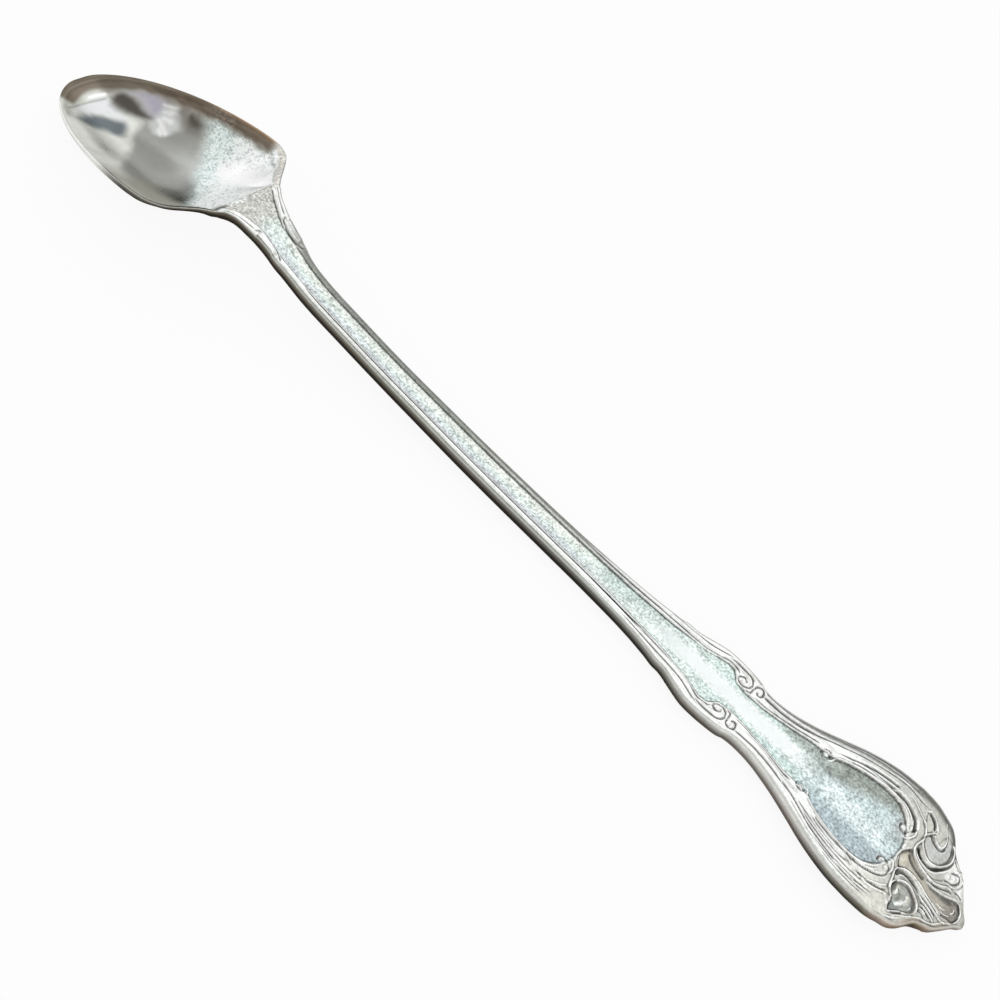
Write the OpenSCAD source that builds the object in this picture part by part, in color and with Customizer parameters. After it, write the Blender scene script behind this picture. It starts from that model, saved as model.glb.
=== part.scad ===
// Iced tea spoon: one metal blank with a deep egg-shaped bowl, an arched neck, a long stem
// with a sunk panel, and a broad end with raised borders, scrolls and a small shell.
// X runs along the spoon from bowl to handle tip, Y across it and Z up from the table.

/* [Overall] */
// Length of the spoon, tip to tip
overall_length = 187; // [176:1:205]

/* [Bowl] */
// Length from the bowl tip to the start of the neck
bowl_length = 42.3; // [39:0.1:46]
// Greatest width of the bowl
bowl_width = 27.2; // [24:0.1:31]
// Distance from the bowl tip to its widest place
bowl_widest = 31.3; // [29:0.1:33]
// Height of the rim above the table at the tip
tip_rim_height = 4; // [3.4:0.1:5.2]
// Thickness of the bowl at its bottom
bowl_wall = 1; // [0.8:0.05:1.3]
// Thickness of the bowl's rim
rim_thickness = 0.75; // [0.6:0.05:1.1]
// Width of the flat lip along the rim
rim_lip = 0.7; // [0.4:0.05:1]
// Distance that the underside of the rim's edge draws in
rim_undercut = 0.55; // [0.3:0.05:0.65]

/* [Neck] */
// Width of the neck where it leaves the bowl
neck_width = 12.6; // [11:0.1:14]
// Length of the neck, from the bowl to the slender stem
neck_length = 14; // [12:0.1:18]
// Height of the neck's arch above the table
neck_height = 11.2; // [10:0.1:12.8]
// Thickness of the neck where it leaves the bowl
neck_thickness = 2; // [1.8:0.1:2.4]

/* [Stem] */
// Width of the stem at its narrowest
stem_width = 5.3; // [4.8:0.1:6]
// Thickness of the stem, border and back together
stem_thickness = 2.4; // [2:0.05:3]

/* [Handle end] */
// Width across the two shoulders
shoulder_width = 12; // [11.2:0.1:13]
// Distance from the handle's tip to the shoulders
shoulder_to_tip = 44.5; // [42:0.5:48]
// Width of the waist behind the shoulders
waist_width = 9.8; // [9:0.1:10.6]
// Distance from the handle's tip to the waist
waist_to_tip = 36.8; // [35:0.1:38.5]
// Greatest width of the handle end
end_width = 21.4; // [19:0.1:23]
// Distance from the handle's tip to its widest place
widest_to_tip = 14; // [13:0.1:15]
// Height of the handle end's back above the table at its widest place
end_lift = 0.85; // [0.4:0.05:1.2]
// Thickness left at the very tip
tip_thickness = 1.6; // [1.2:0.05:1.9]
// Distance that the tip's point leans to the right
tip_lean = 0.8; // [0:0.1:1.2]

/* [Relief] */
// Height of the borders above the sunk panel
border_rise = 0.4; // [0.25:0.05:0.55]
// Width of the border along the slender stem
border_width = 0.9; // [0.7:0.05:1.1]
// Height of the scrolls and leaves above the sunk panel
scroll_rise = 0.6; // [0.35:0.05:0.8]
// Width of the finest ridges
ridge_width = 0.55; // [0.4:0.05:0.7]

/* [Hidden] */
left = 1;
right = -1;

// Places along the spoon
neck_end = bowl_length + neck_length;
shoulder_x = overall_length - shoulder_to_tip;
waist_x = overall_length - waist_to_tip;
widest_x = overall_length - widest_to_tip;
head_start_share = 0.22;
head_start = shoulder_x - head_start_share * shoulder_to_tip;

// Plan of the bowl behind its widest place: [share of the way to the neck, share of the narrowing]
bowl_shoulder_shares = [[0, 0], [0.24, 0.03], [0.43, 0.12], [0.57, 0.25], [0.72, 0.5],
    [0.85, 0.75], [1, 1]];
// Neck: [share of its length, share of the width it still has to lose]
neck_narrowing_shares = [[0, 1], [0.1, 0.72], [0.18, 0.54], [0.32, 0.38], [0.46, 0.25], [0.6, 0.18],
    [0.73, 0.15], [0.86, 0.06], [1, 0.02]];
// Stem: [share of the way to the shoulders, share of the widening]
stem_widening_shares = [[0, 0.02], [0.22, 0], [0.45, 0.05], [0.68, 0.11], [0.8, 0.22], [0.855, 0.33],
    [0.89, 0.46], [0.91, 0.56], [0.93, 0.59], [0.95, 0.73], [0.97, 0.88], [0.985, 0.97], [1, 1]];
// Shoulders: [share of the way to the waist, share of the narrowing]
shoulder_narrowing_shares = [[0, 0], [0.2, 0.04], [0.45, 0.2], [0.65, 0.42], [0.82, 0.85], [1, 1]];
// Flare: [share of the way from the waist to the widest place, share of the widening]
flare_shares = [[0, 0], [0.08, 0.02], [0.16, 0.07], [0.25, 0.165], [0.34, 0.28], [0.5, 0.53],
    [0.62, 0.72], [0.74, 0.865], [0.86, 0.96], [1, 1]];
// Tip: [share of the way from the widest place to the tip, share of the half width]
tip_outline_shares = [[0, 1], [0.2, 0.98], [0.34, 0.92], [0.43, 0.87], [0.5, 0.78], [0.575, 0.63],
    [0.66, 0.54], [0.75, 0.46], [0.84, 0.3], [0.92, 0.14], [0.97, 0.07], [1, 0.02]];
// Arch: [share of the way from neck to the level stretch, share of the arch's height]
arch_shares = [[0, 1], [0.02, 1.0], [0.065, 0.875], [0.12, 0.695], [0.17, 0.525], [0.215, 0.42],
    [0.27, 0.345], [0.34, 0.285], [0.42, 0.22], [0.5, 0.165], [0.6, 0.115], [0.72, 0.06], [0.86, 0.02], [1, 0]];
// The level stretch starts at this share of the length
level_share = 0.61;
level_x = level_share * overall_length;
// Handle end's back: [share of the way from waist to widest place, share of the lift]
lift_shares = [[0, 0], [0.25, 0.3], [0.5, 0.7], [0.75, 0.95], [1, 1]];
// Tip: [share of the way from the widest place to the tip, share of the lift]
tip_lift_shares = [[0, 1], [0.4, 0.8], [0.7, 0.4], [1, 0.1]];
// Tip: [share of the way from the widest place to the tip, share of the thickness above the tip's]
tip_thinning_shares = [[0, 1], [0.3, 0.98], [0.55, 0.85], [0.8, 0.5], [1, 0]];
// Half of the blank's cross-section, from the edge of the flat back round to the front:
// [share of the half width, share of the thickness below the front]
section_shares = [[0.55, 1], [0.8, 0.95], [0.95, 0.84], [1, 0.68], [1, 0.1], [0.99, 0]];

// Value at place t of a smooth curve through rows of [place, value]
function row_before(t, rows) = max([for (i = [0:len(rows) - 2]) if (i == 0 || rows[i][0] <= t) i]);
function slope(rows, i) =
    let (a = rows[max(i - 1, 0)], b = rows[min(i + 1, len(rows) - 1)])
    (b[1] - a[1]) / (b[0] - a[0]);
function hermite(u, h, y0, y1, m0, m1) =
    (2 * u * u * u - 3 * u * u + 1) * y0 + (u * u * u - 2 * u * u + u) * h * m0
    + (3 * u * u - 2 * u * u * u) * y1 + (u * u * u - u * u) * h * m1;
function curve(t, rows) =
    let (i = row_before(t, rows), h = rows[i + 1][0] - rows[i][0], u = (t - rows[i][0]) / h)
    hermite(min(max(u, 0), 1), h, rows[i][1], rows[i + 1][1], slope(rows, i), slope(rows, i + 1));
// Share of the way from a to b
function way(x, a, b) = (x - a) / (b - a);
function blend(share, from, to) = from + (to - from) * share;

// Value at x of a curve that leads from one value at x0 to another at x1
function lead(x, x0, x1, rows, from, to) = blend(curve(way(x, x0, x1), rows), from, to);

// Half width of the bowl at x, half an ellipse in front of its widest place
function bowl_half(x) =
    x <= bowl_widest
        ? bowl_width / 2 * sqrt(max(1 - pow(1 - x / bowl_widest, 2), 0))
        : lead(x, bowl_widest, bowl_length, bowl_shoulder_shares, bowl_width / 2, neck_width / 2);
// Half width of the handle at x
function handle_half(x) =
    x <= neck_end
        ? lead(x, bowl_length, neck_end, neck_narrowing_shares, stem_width / 2, neck_width / 2)
    : x <= shoulder_x
        ? lead(x, neck_end, shoulder_x, stem_widening_shares, stem_width / 2, shoulder_width / 2)
    : x <= waist_x
        ? lead(x, shoulder_x, waist_x, shoulder_narrowing_shares, shoulder_width / 2, waist_width / 2)
    : x <= widest_x
        ? lead(x, waist_x, widest_x, flare_shares, waist_width / 2, end_width / 2)
    : lead(x, widest_x, overall_length, tip_outline_shares, 0, end_width / 2);
// Height of the rim along the bowl, which climbs a little less towards the neck
rim_bend_share = 0.22;
function rim_height(x) =
    let (t = x / bowl_length)
    blend((1 + rim_bend_share) * t - rim_bend_share * t * t, tip_rim_height, neck_height);
// Thickness of the handle, borders and back together
function thickness(x) =
    x <= neck_end
        ? blend(way(x, bowl_length, neck_end), neck_thickness, stem_thickness)
    : x <= widest_x
        ? stem_thickness
    : lead(x, widest_x, overall_length, tip_thinning_shares, tip_thickness, stem_thickness);
// Height of the back above the table
function back_height(x) =
    x <= level_x
        ? lead(x, bowl_length, level_x, arch_shares, stem_thickness, neck_height) - thickness(x)
    : x <= waist_x
        ? 0
    : x <= widest_x
        ? lead(x, waist_x, widest_x, lift_shares, 0, end_lift)
    : lead(x, widest_x, overall_length, tip_lift_shares, 0, end_lift);
// Height of the borders' crest along the handle
function crest_height(x) = back_height(x) + thickness(x);

// Places of the blank's cross-sections along the handle, closer together where its outline turns
neck_steps = 12;
stem_steps = 22;
head_steps = 30;
tip_steps = 14;
neck_places = [for (i = [0:neck_steps]) blend(i / neck_steps, bowl_length, neck_end)];
stem_places = [for (i = [0:stem_steps]) blend(i / stem_steps, neck_end, head_start)];
head_places = concat(
    [for (i = [0:head_steps - 1]) blend(i / head_steps, head_start, widest_x)],
    [for (i = [0:tip_steps]) blend(sin(90 * i / tip_steps), widest_x, overall_length)]
);
handle_places = concat(neck_places, stem_places, head_places);
// The sunk panel's floor is straight between the places, so ridges can stand on it exactly
floor_table = [for (x = handle_places) [x, crest_height(x) - border_rise]];
function floor_height(x) = lookup(x, floor_table);

// Faces of a solid through closed rings of points, capped flat at both ends
module loft(rings) {
    n = len(rings[0]);
    last = len(rings) - 1;
    sides = [
        for (i = [0:last - 1], j = [0:n - 1])
            let (a = i * n + j, b = i * n + (j + 1) % n, c = b + n, d = a + n)
            each [[a, c, b], [a, d, c]]
    ];
    start = [for (j = [0:n - 1]) j];
    end = [for (j = [0:n - 1]) last * n + n - 1 - j];
    translate([-overall_length / 2, 0, 0])
        polyhedron(points = [for (ring = rings) each ring], faces = concat(sides, [start, end]));
}

// Middle of the blank at x, which turns aside at the tip
function middle_at(x) = -tip_lean * pow(max(way(x, widest_x, overall_length), 0), 2);
// One cross-section of the blank at x
function blank_ring(x) =
    let (
        half = handle_half(x),
        middle = middle_at(x),
        top = floor_height(x),
        depth = top - back_height(x)
    )
    concat(
        [for (q = section_shares) [x, middle + half * q[0], top - depth * q[1]]],
        [
            for (i = [len(section_shares) - 1:-1:0])
                let (q = section_shares[i])
                [x, middle - half * q[0], top - depth * q[1]]
        ]
    );
module blank(places) {
    loft([for (x = places) blank_ring(x)]);
}

// Direction of a path at its point i, as a unit vector
function direction(path, i) =
    let (d = path[min(i + 1, len(path) - 1)] - path[max(i - 1, 0)])
    d / norm(d);
ridge_sides = 7;
ridge_end_share = 0.45;
ridge_taper_shares = [[0, ridge_end_share], [0.25, 1], [0.75, 1], [1, ridge_end_share]];
// Rounded ridge of one width and rise that stands on the sunk panel and tapers at both ends
function ridge_ring(path, i, width, rise) =
    let (
        taper = curve(i / (len(path) - 1), ridge_taper_shares),
        d = direction(path, i),
        across = [-d[1], d[0]] * width / 2 * taper
    )
    [
        for (k = [0:ridge_sides])
            let (a = 180 * k / ridge_sides, p = path[i] + across * cos(a))
            [p[0], p[1], floor_height(p[0]) + rise * taper * sin(a)]
    ];
module ridge(path, width, rise) {
    loft([for (i = [0:len(path) - 1]) ridge_ring(path, i, width, rise)]);
}

// Smooth path through points, with the given number of steps between each two
function spline_point(p, i, t) =
    let (
        a = p[max(i - 1, 0)],
        b = p[i],
        c = p[i + 1],
        d = p[min(i + 2, len(p) - 1)]
    )
    (2 * b + (c - a) * t + (2 * a - 5 * b + 4 * c - d) * t * t + (3 * b - a - 3 * c + d) * t * t * t) / 2;
function spline(p, steps) =
    concat([for (i = [0:len(p) - 2], k = [0:steps - 1]) spline_point(p, i, k / steps)], [p[len(p) - 1]]);

// A place on the handle end, from shares of the way from shoulders to tip and of its half width
function head_point(q, side = left) =
    [shoulder_x + q[0] * shoulder_to_tip, side * q[1] * end_width / 2];
path_steps = 4;
function head_path(shares, side = left) = spline([for (q = shares) head_point(q, side)], path_steps);

// Half-round bead of radius r on the sunk panel
bead_flatness = 0.8;
module bead(centre, r) {
    translate([centre[0] - overall_length / 2, centre[1], floor_height(centre[0])])
        rotate_extrude($fn = 48)
            polygon(concat([[0, 0]], [for (a = [0:10:90]) [r * cos(a), bead_flatness * r * sin(a)]]));
}

// Bowl: rings from the middle of the hollow out to the rim, over the lip and back underneath
bowl_centre_share = 0.45;
bowl_curve = 2.1;
flat_share = 0.1;
front_steps = 15;
back_steps = 8;
seam_steps = 6;
hollow_steps = 9;
bowl_side = concat(
    [for (i = [0:front_steps]) bowl_widest * (1 - cos(90 * i / front_steps))],
    [for (i = [1:back_steps]) blend(i / back_steps, bowl_widest, bowl_length)]
);
seam_shares = [for (k = [1:seam_steps - 1]) 1 - 2 * k / seam_steps];
bowl_outline = concat(
    [for (x = bowl_side) [x, bowl_half(x)]],
    [for (s = seam_shares) [bowl_length, s * neck_width / 2]],
    [for (i = [len(bowl_side) - 1:-1:1]) [bowl_side[i], -bowl_half(bowl_side[i])]]
);
seam_floor = neck_height - border_rise;
// The rim falls to the neck's panel over this share of the bowl's length
seam_blend_share = 0.1;
function seam_way(x) = max(way(x, bowl_length * (1 - seam_blend_share), bowl_length), 0);
function top_at(p) = blend(pow(seam_way(p[0]), 2), rim_height(p[0]), seam_floor);
corner_shares = [for (i = [0:3]) section_shares[i]];
function section_depth(share) = lookup(share, corner_shares);
function wall_at(p) =
    let (
        share = abs(p[1]) / (neck_width / 2),
        seam_wall = (seam_floor - back_height(bowl_length)) * section_depth(share)
    )
    blend(pow(seam_way(p[0]), 2), rim_thickness, seam_wall);
function hollow_share(s) = pow(max(s - flat_share, 0) / (1 - flat_share), bowl_curve);
function bowl_point(p, s, z) =
    [blend(s, bowl_centre_share * bowl_length, p[0]), s * p[1], z];
module bowl_shell() {
    lip_share = 1 - rim_lip / (bowl_width / 2);
    undercut_share = rim_undercut / (bowl_width / 2);
    inside = [
        for (i = [0:hollow_steps])
            let (s = blend(i / hollow_steps, flat_share, 1))
            [
                for (p = bowl_outline)
                    bowl_point(p, s * lip_share, blend(hollow_share(s), bowl_wall, top_at(p)))
            ]
    ];
    rim = [[for (p = bowl_outline) bowl_point(p, 1, top_at(p))]];
    outside = [
        for (i = [hollow_steps:-1:0])
            let (s = blend(i / hollow_steps, flat_share, 1))
            [
                for (p = bowl_outline)
                    bowl_point(p, s * (1 - undercut_share * (1 - pow(seam_way(p[0]), 2))),
                        hollow_share(s) * (top_at(p) - wall_at(p)))
            ]
    ];
    loft(concat(inside, rim, outside));
}

// Borders: bands whose outer edge follows the outline and whose inner edge follows the panel
stem_border_end_share = 0.07;
stem_border_end = shoulder_x + stem_border_end_share * shoulder_to_tip;
// Inner edge along the stem:
// [share of the way from the neck's end to the border's end, share of the spread]
panel_spread_shares = [[0, 0], [0.68, 0.02], [0.78, 0.2], [0.88, 0.55], [1, 1]];
panel_spread = 1.25;
border_inset_share = 0.015;
function border_outer(x) = handle_half(x) * (1 - border_inset_share);
border_crown_shares = [[0, 0], [0.05, 0.7], [0.2, 1], [0.36, 0.9], [0.5, 1], [0.66, 0.85], [0.84, 0.95],
    [0.95, 0.6], [1, 0]];
function stem_panel_half(x) =
    stem_width / 2 - border_width
    + lead(x, neck_end, stem_border_end, panel_spread_shares, 0, panel_spread);
function border_inner(x) = x < neck_end ? handle_half(x) - border_width : stem_panel_half(x);
// Inner edge of the handle end's border, as shares of the way from shoulders to tip and of the half width
end_border_inner_shares = [[0.15, 0.33], [0.285, 0.38], [0.39, 0.42], [0.45, 0.45], [0.52, 0.53],
    [0.6, 0.58], [0.68, 0.6], [0.73, 0.56], [0.765, 0.5]];
function end_border_inner(x) =
    end_width / 2 * curve(way(x, shoulder_x, overall_length), end_border_inner_shares);
function turned(ring) = [for (i = [len(ring) - 1:-1:0]) ring[i]];
function band_ring(x, side, outer, inner, rise) =
    let (
        ring = [
            for (q = border_crown_shares)
                [x, side * blend(q[0], outer, inner), floor_height(x) + rise * q[1]]
        ]
    )
    side == left ? ring : turned(ring);
module band(places, side, rise) {
    loft([for (p = places) band_ring(p[0], side, p[1], p[2], rise)]);
}
module stem_border(side) {
    places = [for (x = handle_places) if (x < stem_border_end) x];
    band([for (x = places) [x, border_outer(x), border_inner(x)]], side, border_rise);
}
end_border_start_share = 0.16;
end_border_stop_share = 0.765;
end_border_steps = 26;
module end_border(side) {
    places = [
        for (i = [0:end_border_steps])
            let (share = blend(i / end_border_steps, end_border_start_share, end_border_stop_share))
            shoulder_x + share * shoulder_to_tip
    ];
    band([for (x = places) [x, border_outer(x), end_border_inner(x)]], side, border_rise);
}

// Leaf on each edge of the neck: [share of the neck's length, share of the half width there]
neck_leaf_shares = [[0.36, 0.62], [0.45, 0.78], [0.58, 0.86], [0.7, 0.86], [0.78, 0.8]];
neck_leaf_width = 1;
neck_leaf_rise_share = 1.2;
module neck_leaf(side) {
    path = [
        for (q = neck_leaf_shares)
            let (x = blend(q[0], bowl_length, neck_end))
            [x, side * q[1] * handle_half(x)]
    ];
    ridge(spline(path, path_steps), neck_leaf_width, scroll_rise * neck_leaf_rise_share);
}

// Shoulder scroll: a spiral with a small ring behind it
scroll_centre_shares = [0.076, 0.337];
ring_centre_shares = [0.126, 0.385];
scroll_radius = 1.15;
ring_radius = 0.72;
scroll_turn = 400;
scroll_start = -150;
scroll_steps = 28;
spiral_eye_share = 0.35;
function spiral(centre, side, radius, start, turn) = [
    for (i = [0:scroll_steps])
        let (
            r = radius * blend(i / scroll_steps, 1, spiral_eye_share),
            a = start + turn * i / scroll_steps
        )
        centre + [r * cos(a), side * r * sin(a)]
];
module shoulder_scroll(side) {
    centre = head_point(scroll_centre_shares, side);
    ridge(spiral(centre, side, scroll_radius, scroll_start, scroll_turn), ridge_width, scroll_rise);
    bead(head_point(ring_centre_shares, side), ring_radius);
}

// Bead where the flare begins, and the inner ridge that hooks round a ball
panel_bead_shares = [0.4, 0.34];
panel_bead_radius = 0.6;
module panel_bead(side) {
    bead(head_point(panel_bead_shares, side), panel_bead_radius);
}
hook_shares = [[0.43, 0.37], [0.48, 0.44], [0.55, 0.5], [0.62, 0.53], [0.675, 0.51], [0.71, 0.43],
    [0.722, 0.34], [0.71, 0.28]];
hook_ball_shares = [0.69, 0.33];
hook_ball_radius = 0.6;
module panel_hook(side) {
    ridge(head_path(hook_shares, side), ridge_width, scroll_rise);
    bead(head_point(hook_ball_shares, side), hook_ball_radius);
}

// Tip ornaments: paths as shares of the way from shoulders to tip and of the half width
channel_shares = [[0.735, -0.06], [0.78, -0.06], [0.84, -0.055], [0.9, -0.05], [0.95, -0.055],
    [0.98, -0.06]];
channel_width_share = 0.088;
channel_width = channel_width_share * end_width;
comma_centre_shares = [0.818, 0.44];
comma_radius = 2.1;
comma_start = 120;
comma_turn = 330;
comma_width = 1;
cradle_shares = [[0.76, 0.3], [0.765, 0.16], [0.785, 0.07], [0.83, 0.04], [0.88, 0.08], [0.92, 0.14],
    [0.945, 0.22]];
curl_centre_shares = [0.905, 0.34];
curl_radius = 0.85;
curl_start = 180;
curl_turn = -400;
shell_cap_shares = [[0.75, -0.33], [0.765, -0.22], [0.8, -0.16], [0.85, -0.18], [0.9, -0.24],
    [0.94, -0.27]];
shell_rim_shares = [[0.762, -0.52], [0.768, -0.4], [0.795, -0.33], [0.83, -0.35], [0.852, -0.44],
    [0.858, -0.54]];
shell_hinge_shares = [0.775, -0.46];
shell_reach = 3;
shell_start = 0.9;
shell_angles = [-25, -58, -91];
shell_steps = 7;
petal_width = 0.75;
fine_share = 0.8;
channel_rise_share = 0.7;
sprig_shares = [
    [[0.865, -0.29], [0.9, -0.34], [0.935, -0.33]],
    [[0.87, -0.4], [0.9, -0.42], [0.925, -0.4]]
];
module tip_channel() {
    for (side = [left, right])
        ridge([for (p = head_path(channel_shares)) p + [0, side * channel_width / 4]],
            channel_width / 2, scroll_rise * channel_rise_share);
}
module tip_comma() {
    centre = head_point(comma_centre_shares);
    ridge(spiral(centre, left, comma_radius, comma_start, comma_turn), comma_width, scroll_rise);
}
module tip_cradle() {
    ridge(head_path(cradle_shares), ridge_width, scroll_rise);
}
module tip_curl() {
    centre = head_point(curl_centre_shares);
    ridge(spiral(centre, left, curl_radius, curl_start, curl_turn), ridge_width * fine_share, scroll_rise);
}
module tip_shell() {
    hinge = head_point(shell_hinge_shares);
    for (a = shell_angles)
        ridge([
            for (i = [0:shell_steps])
                hinge + blend(i / shell_steps, shell_start, shell_reach) * [cos(a), sin(a)]
        ], petal_width, scroll_rise);
}
module tip_shell_cap() {
    ridge(head_path(shell_cap_shares), ridge_width, scroll_rise);
    ridge(head_path(shell_rim_shares), ridge_width * fine_share, scroll_rise);
}
module tip_sprigs() {
    for (shares = sprig_shares)
        ridge(head_path(shares), ridge_width, scroll_rise * fine_share);
}

module bowl() {
    color("silver") bowl_shell();
}
module neck() {
    color("silver") blank(neck_places);
}
module stem() {
    color("silver") blank(stem_places);
}
module handle_end() {
    color("silver") blank(head_places);
}

bowl();
neck();
stem();
handle_end();
color("gainsboro") stem_border(left);  // left_stem_border
color("gainsboro") stem_border(right);  // right_stem_border
color("gainsboro") end_border(left);  // left_end_border
color("gainsboro") end_border(right);  // right_end_border
color("gainsboro") neck_leaf(left);  // left_neck_leaf
color("gainsboro") neck_leaf(right);  // right_neck_leaf
color("gainsboro") shoulder_scroll(left);  // left_shoulder_scroll
color("gainsboro") shoulder_scroll(right);  // right_shoulder_scroll
color("gainsboro") panel_bead(left);  // left_panel_bead
color("gainsboro") panel_bead(right);  // right_panel_bead
color("gainsboro") panel_hook(left);  // left_panel_hook
color("gainsboro") panel_hook(right);  // right_panel_hook
color("gainsboro") tip_channel();
color("gainsboro") tip_comma();
color("gainsboro") tip_cradle();
color("gainsboro") tip_curl();
color("gainsboro") tip_shell();
color("gainsboro") tip_shell_cap();
color("gainsboro") tip_sprigs();
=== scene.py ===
import bpy
import numpy as np
from mathutils import Matrix, Vector

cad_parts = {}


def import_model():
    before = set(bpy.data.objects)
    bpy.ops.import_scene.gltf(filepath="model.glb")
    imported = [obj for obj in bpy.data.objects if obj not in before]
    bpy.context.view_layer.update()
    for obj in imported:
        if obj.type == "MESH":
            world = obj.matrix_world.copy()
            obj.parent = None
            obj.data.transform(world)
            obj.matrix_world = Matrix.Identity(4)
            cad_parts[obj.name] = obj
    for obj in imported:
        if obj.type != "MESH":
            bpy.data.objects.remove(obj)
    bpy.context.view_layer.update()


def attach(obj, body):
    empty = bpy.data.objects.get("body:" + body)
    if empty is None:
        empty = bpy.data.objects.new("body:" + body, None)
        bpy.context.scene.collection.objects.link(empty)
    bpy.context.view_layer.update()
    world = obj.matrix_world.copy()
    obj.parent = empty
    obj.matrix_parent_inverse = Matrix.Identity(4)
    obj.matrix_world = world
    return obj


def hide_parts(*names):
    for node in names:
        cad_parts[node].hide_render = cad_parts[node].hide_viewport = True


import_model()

# sizes, in mm from the bowl's tip
LENGTH = 187
BOWL_LENGTH, BOWL_WIDTH, BOWL_WIDEST, TIP_RIM = 42.3, 27.2, 31.3, 4
BOWL_WALL, RIM_THICKNESS, RIM_LIP, LIP_ROUNDING, UNDERCUT = 1, 0.75, 0.5, 0.16, 0.55
NECK_WIDTH, NECK_LENGTH, NECK_HEIGHT, NECK_THICKNESS = 12.6, 14, 11.2, 2
STEM_WIDTH, STEM_THICKNESS = 5.3, 2.4
SHOULDER_WIDTH, SHOULDER_X, WAIST_WIDTH, WAIST_X = 12, 142.5, 9.8, 150.2
END_WIDTH, WIDEST_X, END_LIFT, TIP_THICKNESS, TIP_LEAN = 21.4, 173, 0.85, 1.6, 0.8
PANEL_DEPTH = 0.42
NECK_END = BOWL_LENGTH + NECK_LENGTH
LEVEL_X = 0.61 * LENGTH
HEAD_START = SHOULDER_X - 0.22 * (LENGTH - SHOULDER_X)
CENTRE_X = 0.45 * BOWL_LENGTH
MM = 0.001
# floor and camera, in metres
FLOOR_HALF, FLOOR_GAP = 3, 0.00004
CAMERA_PLACE, CAMERA_LOOK = (0.04935, -0.09988, 0.13329), (-0.23797, 0.57833, -0.78032)
CAMERA_UP = (-0.66635, 0.48731, 0.56437)
# shares along each stretch, as place, value, place, value

BOWL_SHOULDER = [0, 0, 0.24, 0.03, 0.43, 0.12, 0.57, 0.25, 0.72, 0.5, 0.85, 0.75, 1, 1]
NECK_NARROWING = [0, 1, 0.1, 0.72, 0.18, 0.54, 0.32, 0.38, 0.46, 0.25, 0.6, 0.18, 0.73, 0.15, 0.86, 0.06,
    1, 0.02]
STEM_WIDENING = [0, 0.02, 0.22, 0, 0.45, 0.05, 0.68, 0.11, 0.8, 0.22, 0.855, 0.33, 0.89, 0.46, 0.91, 0.56,
    0.93, 0.59, 0.95, 0.73, 0.97, 0.88, 0.985, 0.97, 1, 1]
SHOULDER_NARROWING = [0, 0, 0.2, 0.04, 0.45, 0.2, 0.65, 0.42, 0.82, 0.85, 1, 1]
FLARE = [0, 0, 0.08, 0.02, 0.16, 0.07, 0.25, 0.165, 0.34, 0.28, 0.5, 0.53, 0.62, 0.72, 0.74, 0.865,
    0.86, 0.96, 1, 1]
TIP_OUTLINE = [0, 1, 0.2, 0.98, 0.34, 0.92, 0.43, 0.87, 0.5, 0.78, 0.575, 0.63, 0.66, 0.54, 0.75, 0.46,
    0.84, 0.3, 0.92, 0.14, 0.97, 0.07, 1, 0.02]
ARCH = [0, 1, 0.02, 1, 0.065, 0.875, 0.12, 0.695, 0.17, 0.525, 0.215, 0.42, 0.27, 0.345, 0.34, 0.285,
    0.42, 0.22, 0.5, 0.165, 0.6, 0.115, 0.72, 0.06, 0.86, 0.02, 1, 0]
LIFT = [0, 0, 0.25, 0.3, 0.5, 0.7, 0.75, 0.95, 1, 1]
TIP_LIFT = [0, 1, 0.4, 0.8, 0.7, 0.4, 1, 0.1]
TIP_THINNING = [0, 1, 0.3, 0.98, 0.55, 0.85, 0.8, 0.5, 1, 0]


# curves
def curve(t, rows):
    """Smooth curve through rows, a flat list of place, value, place, value."""
    rows = np.array(rows, float).reshape(-1, 2)
    places, values, last = rows[:, 0], rows[:, 1], len(rows) - 1
    t = np.asarray(t, float)
    i = np.clip(np.searchsorted(places, t, side="right") - 1, 0, last - 1)
    before, after = np.maximum(np.arange(last + 1) - 1, 0), np.minimum(np.arange(last + 1) + 1, last)
    slope = (values[after] - values[before]) / (places[after] - places[before])
    h = places[i + 1] - places[i]
    u = np.clip((t - places[i]) / h, 0, 1)
    return ((2 * u**3 - 3 * u**2 + 1) * values[i] + (u**3 - 2 * u**2 + u) * h * slope[i]
            + (3 * u**2 - 2 * u**3) * values[i + 1] + (u**3 - u**2) * h * slope[i + 1])


def lead(x, x0, x1, rows, a, b):
    """From b, where the rows' value is 1, to a, where it is 0, over the stretch from x0 to x1."""
    return a + (b - a) * curve((x - x0) / (x1 - x0), rows)


def smooth(x, a, b):
    """Rises softly from 0 at a to 1 at b."""
    t = np.clip((x - a) / (b - a), 0, 1)
    return t * t * (3 - 2 * t)


def fade(x, a, b):
    """Falls softly from 1 at a to 0 at b."""
    return 1 - smooth(x, a, b)


def between(x, a, b, c, d):
    """Rises from 0 to 1 between a and b, and falls back to 0 between c and d."""
    return smooth(x, a, b) * fade(x, c, d)


def bowl_half(x):
    way = np.clip(x, 0, BOWL_WIDEST) / BOWL_WIDEST
    front = BOWL_WIDTH / 2 * np.sqrt(np.clip(1 - (1 - way) ** 2, 0, 1))
    back = lead(x, BOWL_WIDEST, BOWL_LENGTH, BOWL_SHOULDER, BOWL_WIDTH / 2, NECK_WIDTH / 2)
    return np.where(x <= BOWL_WIDEST, front, back)


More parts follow.
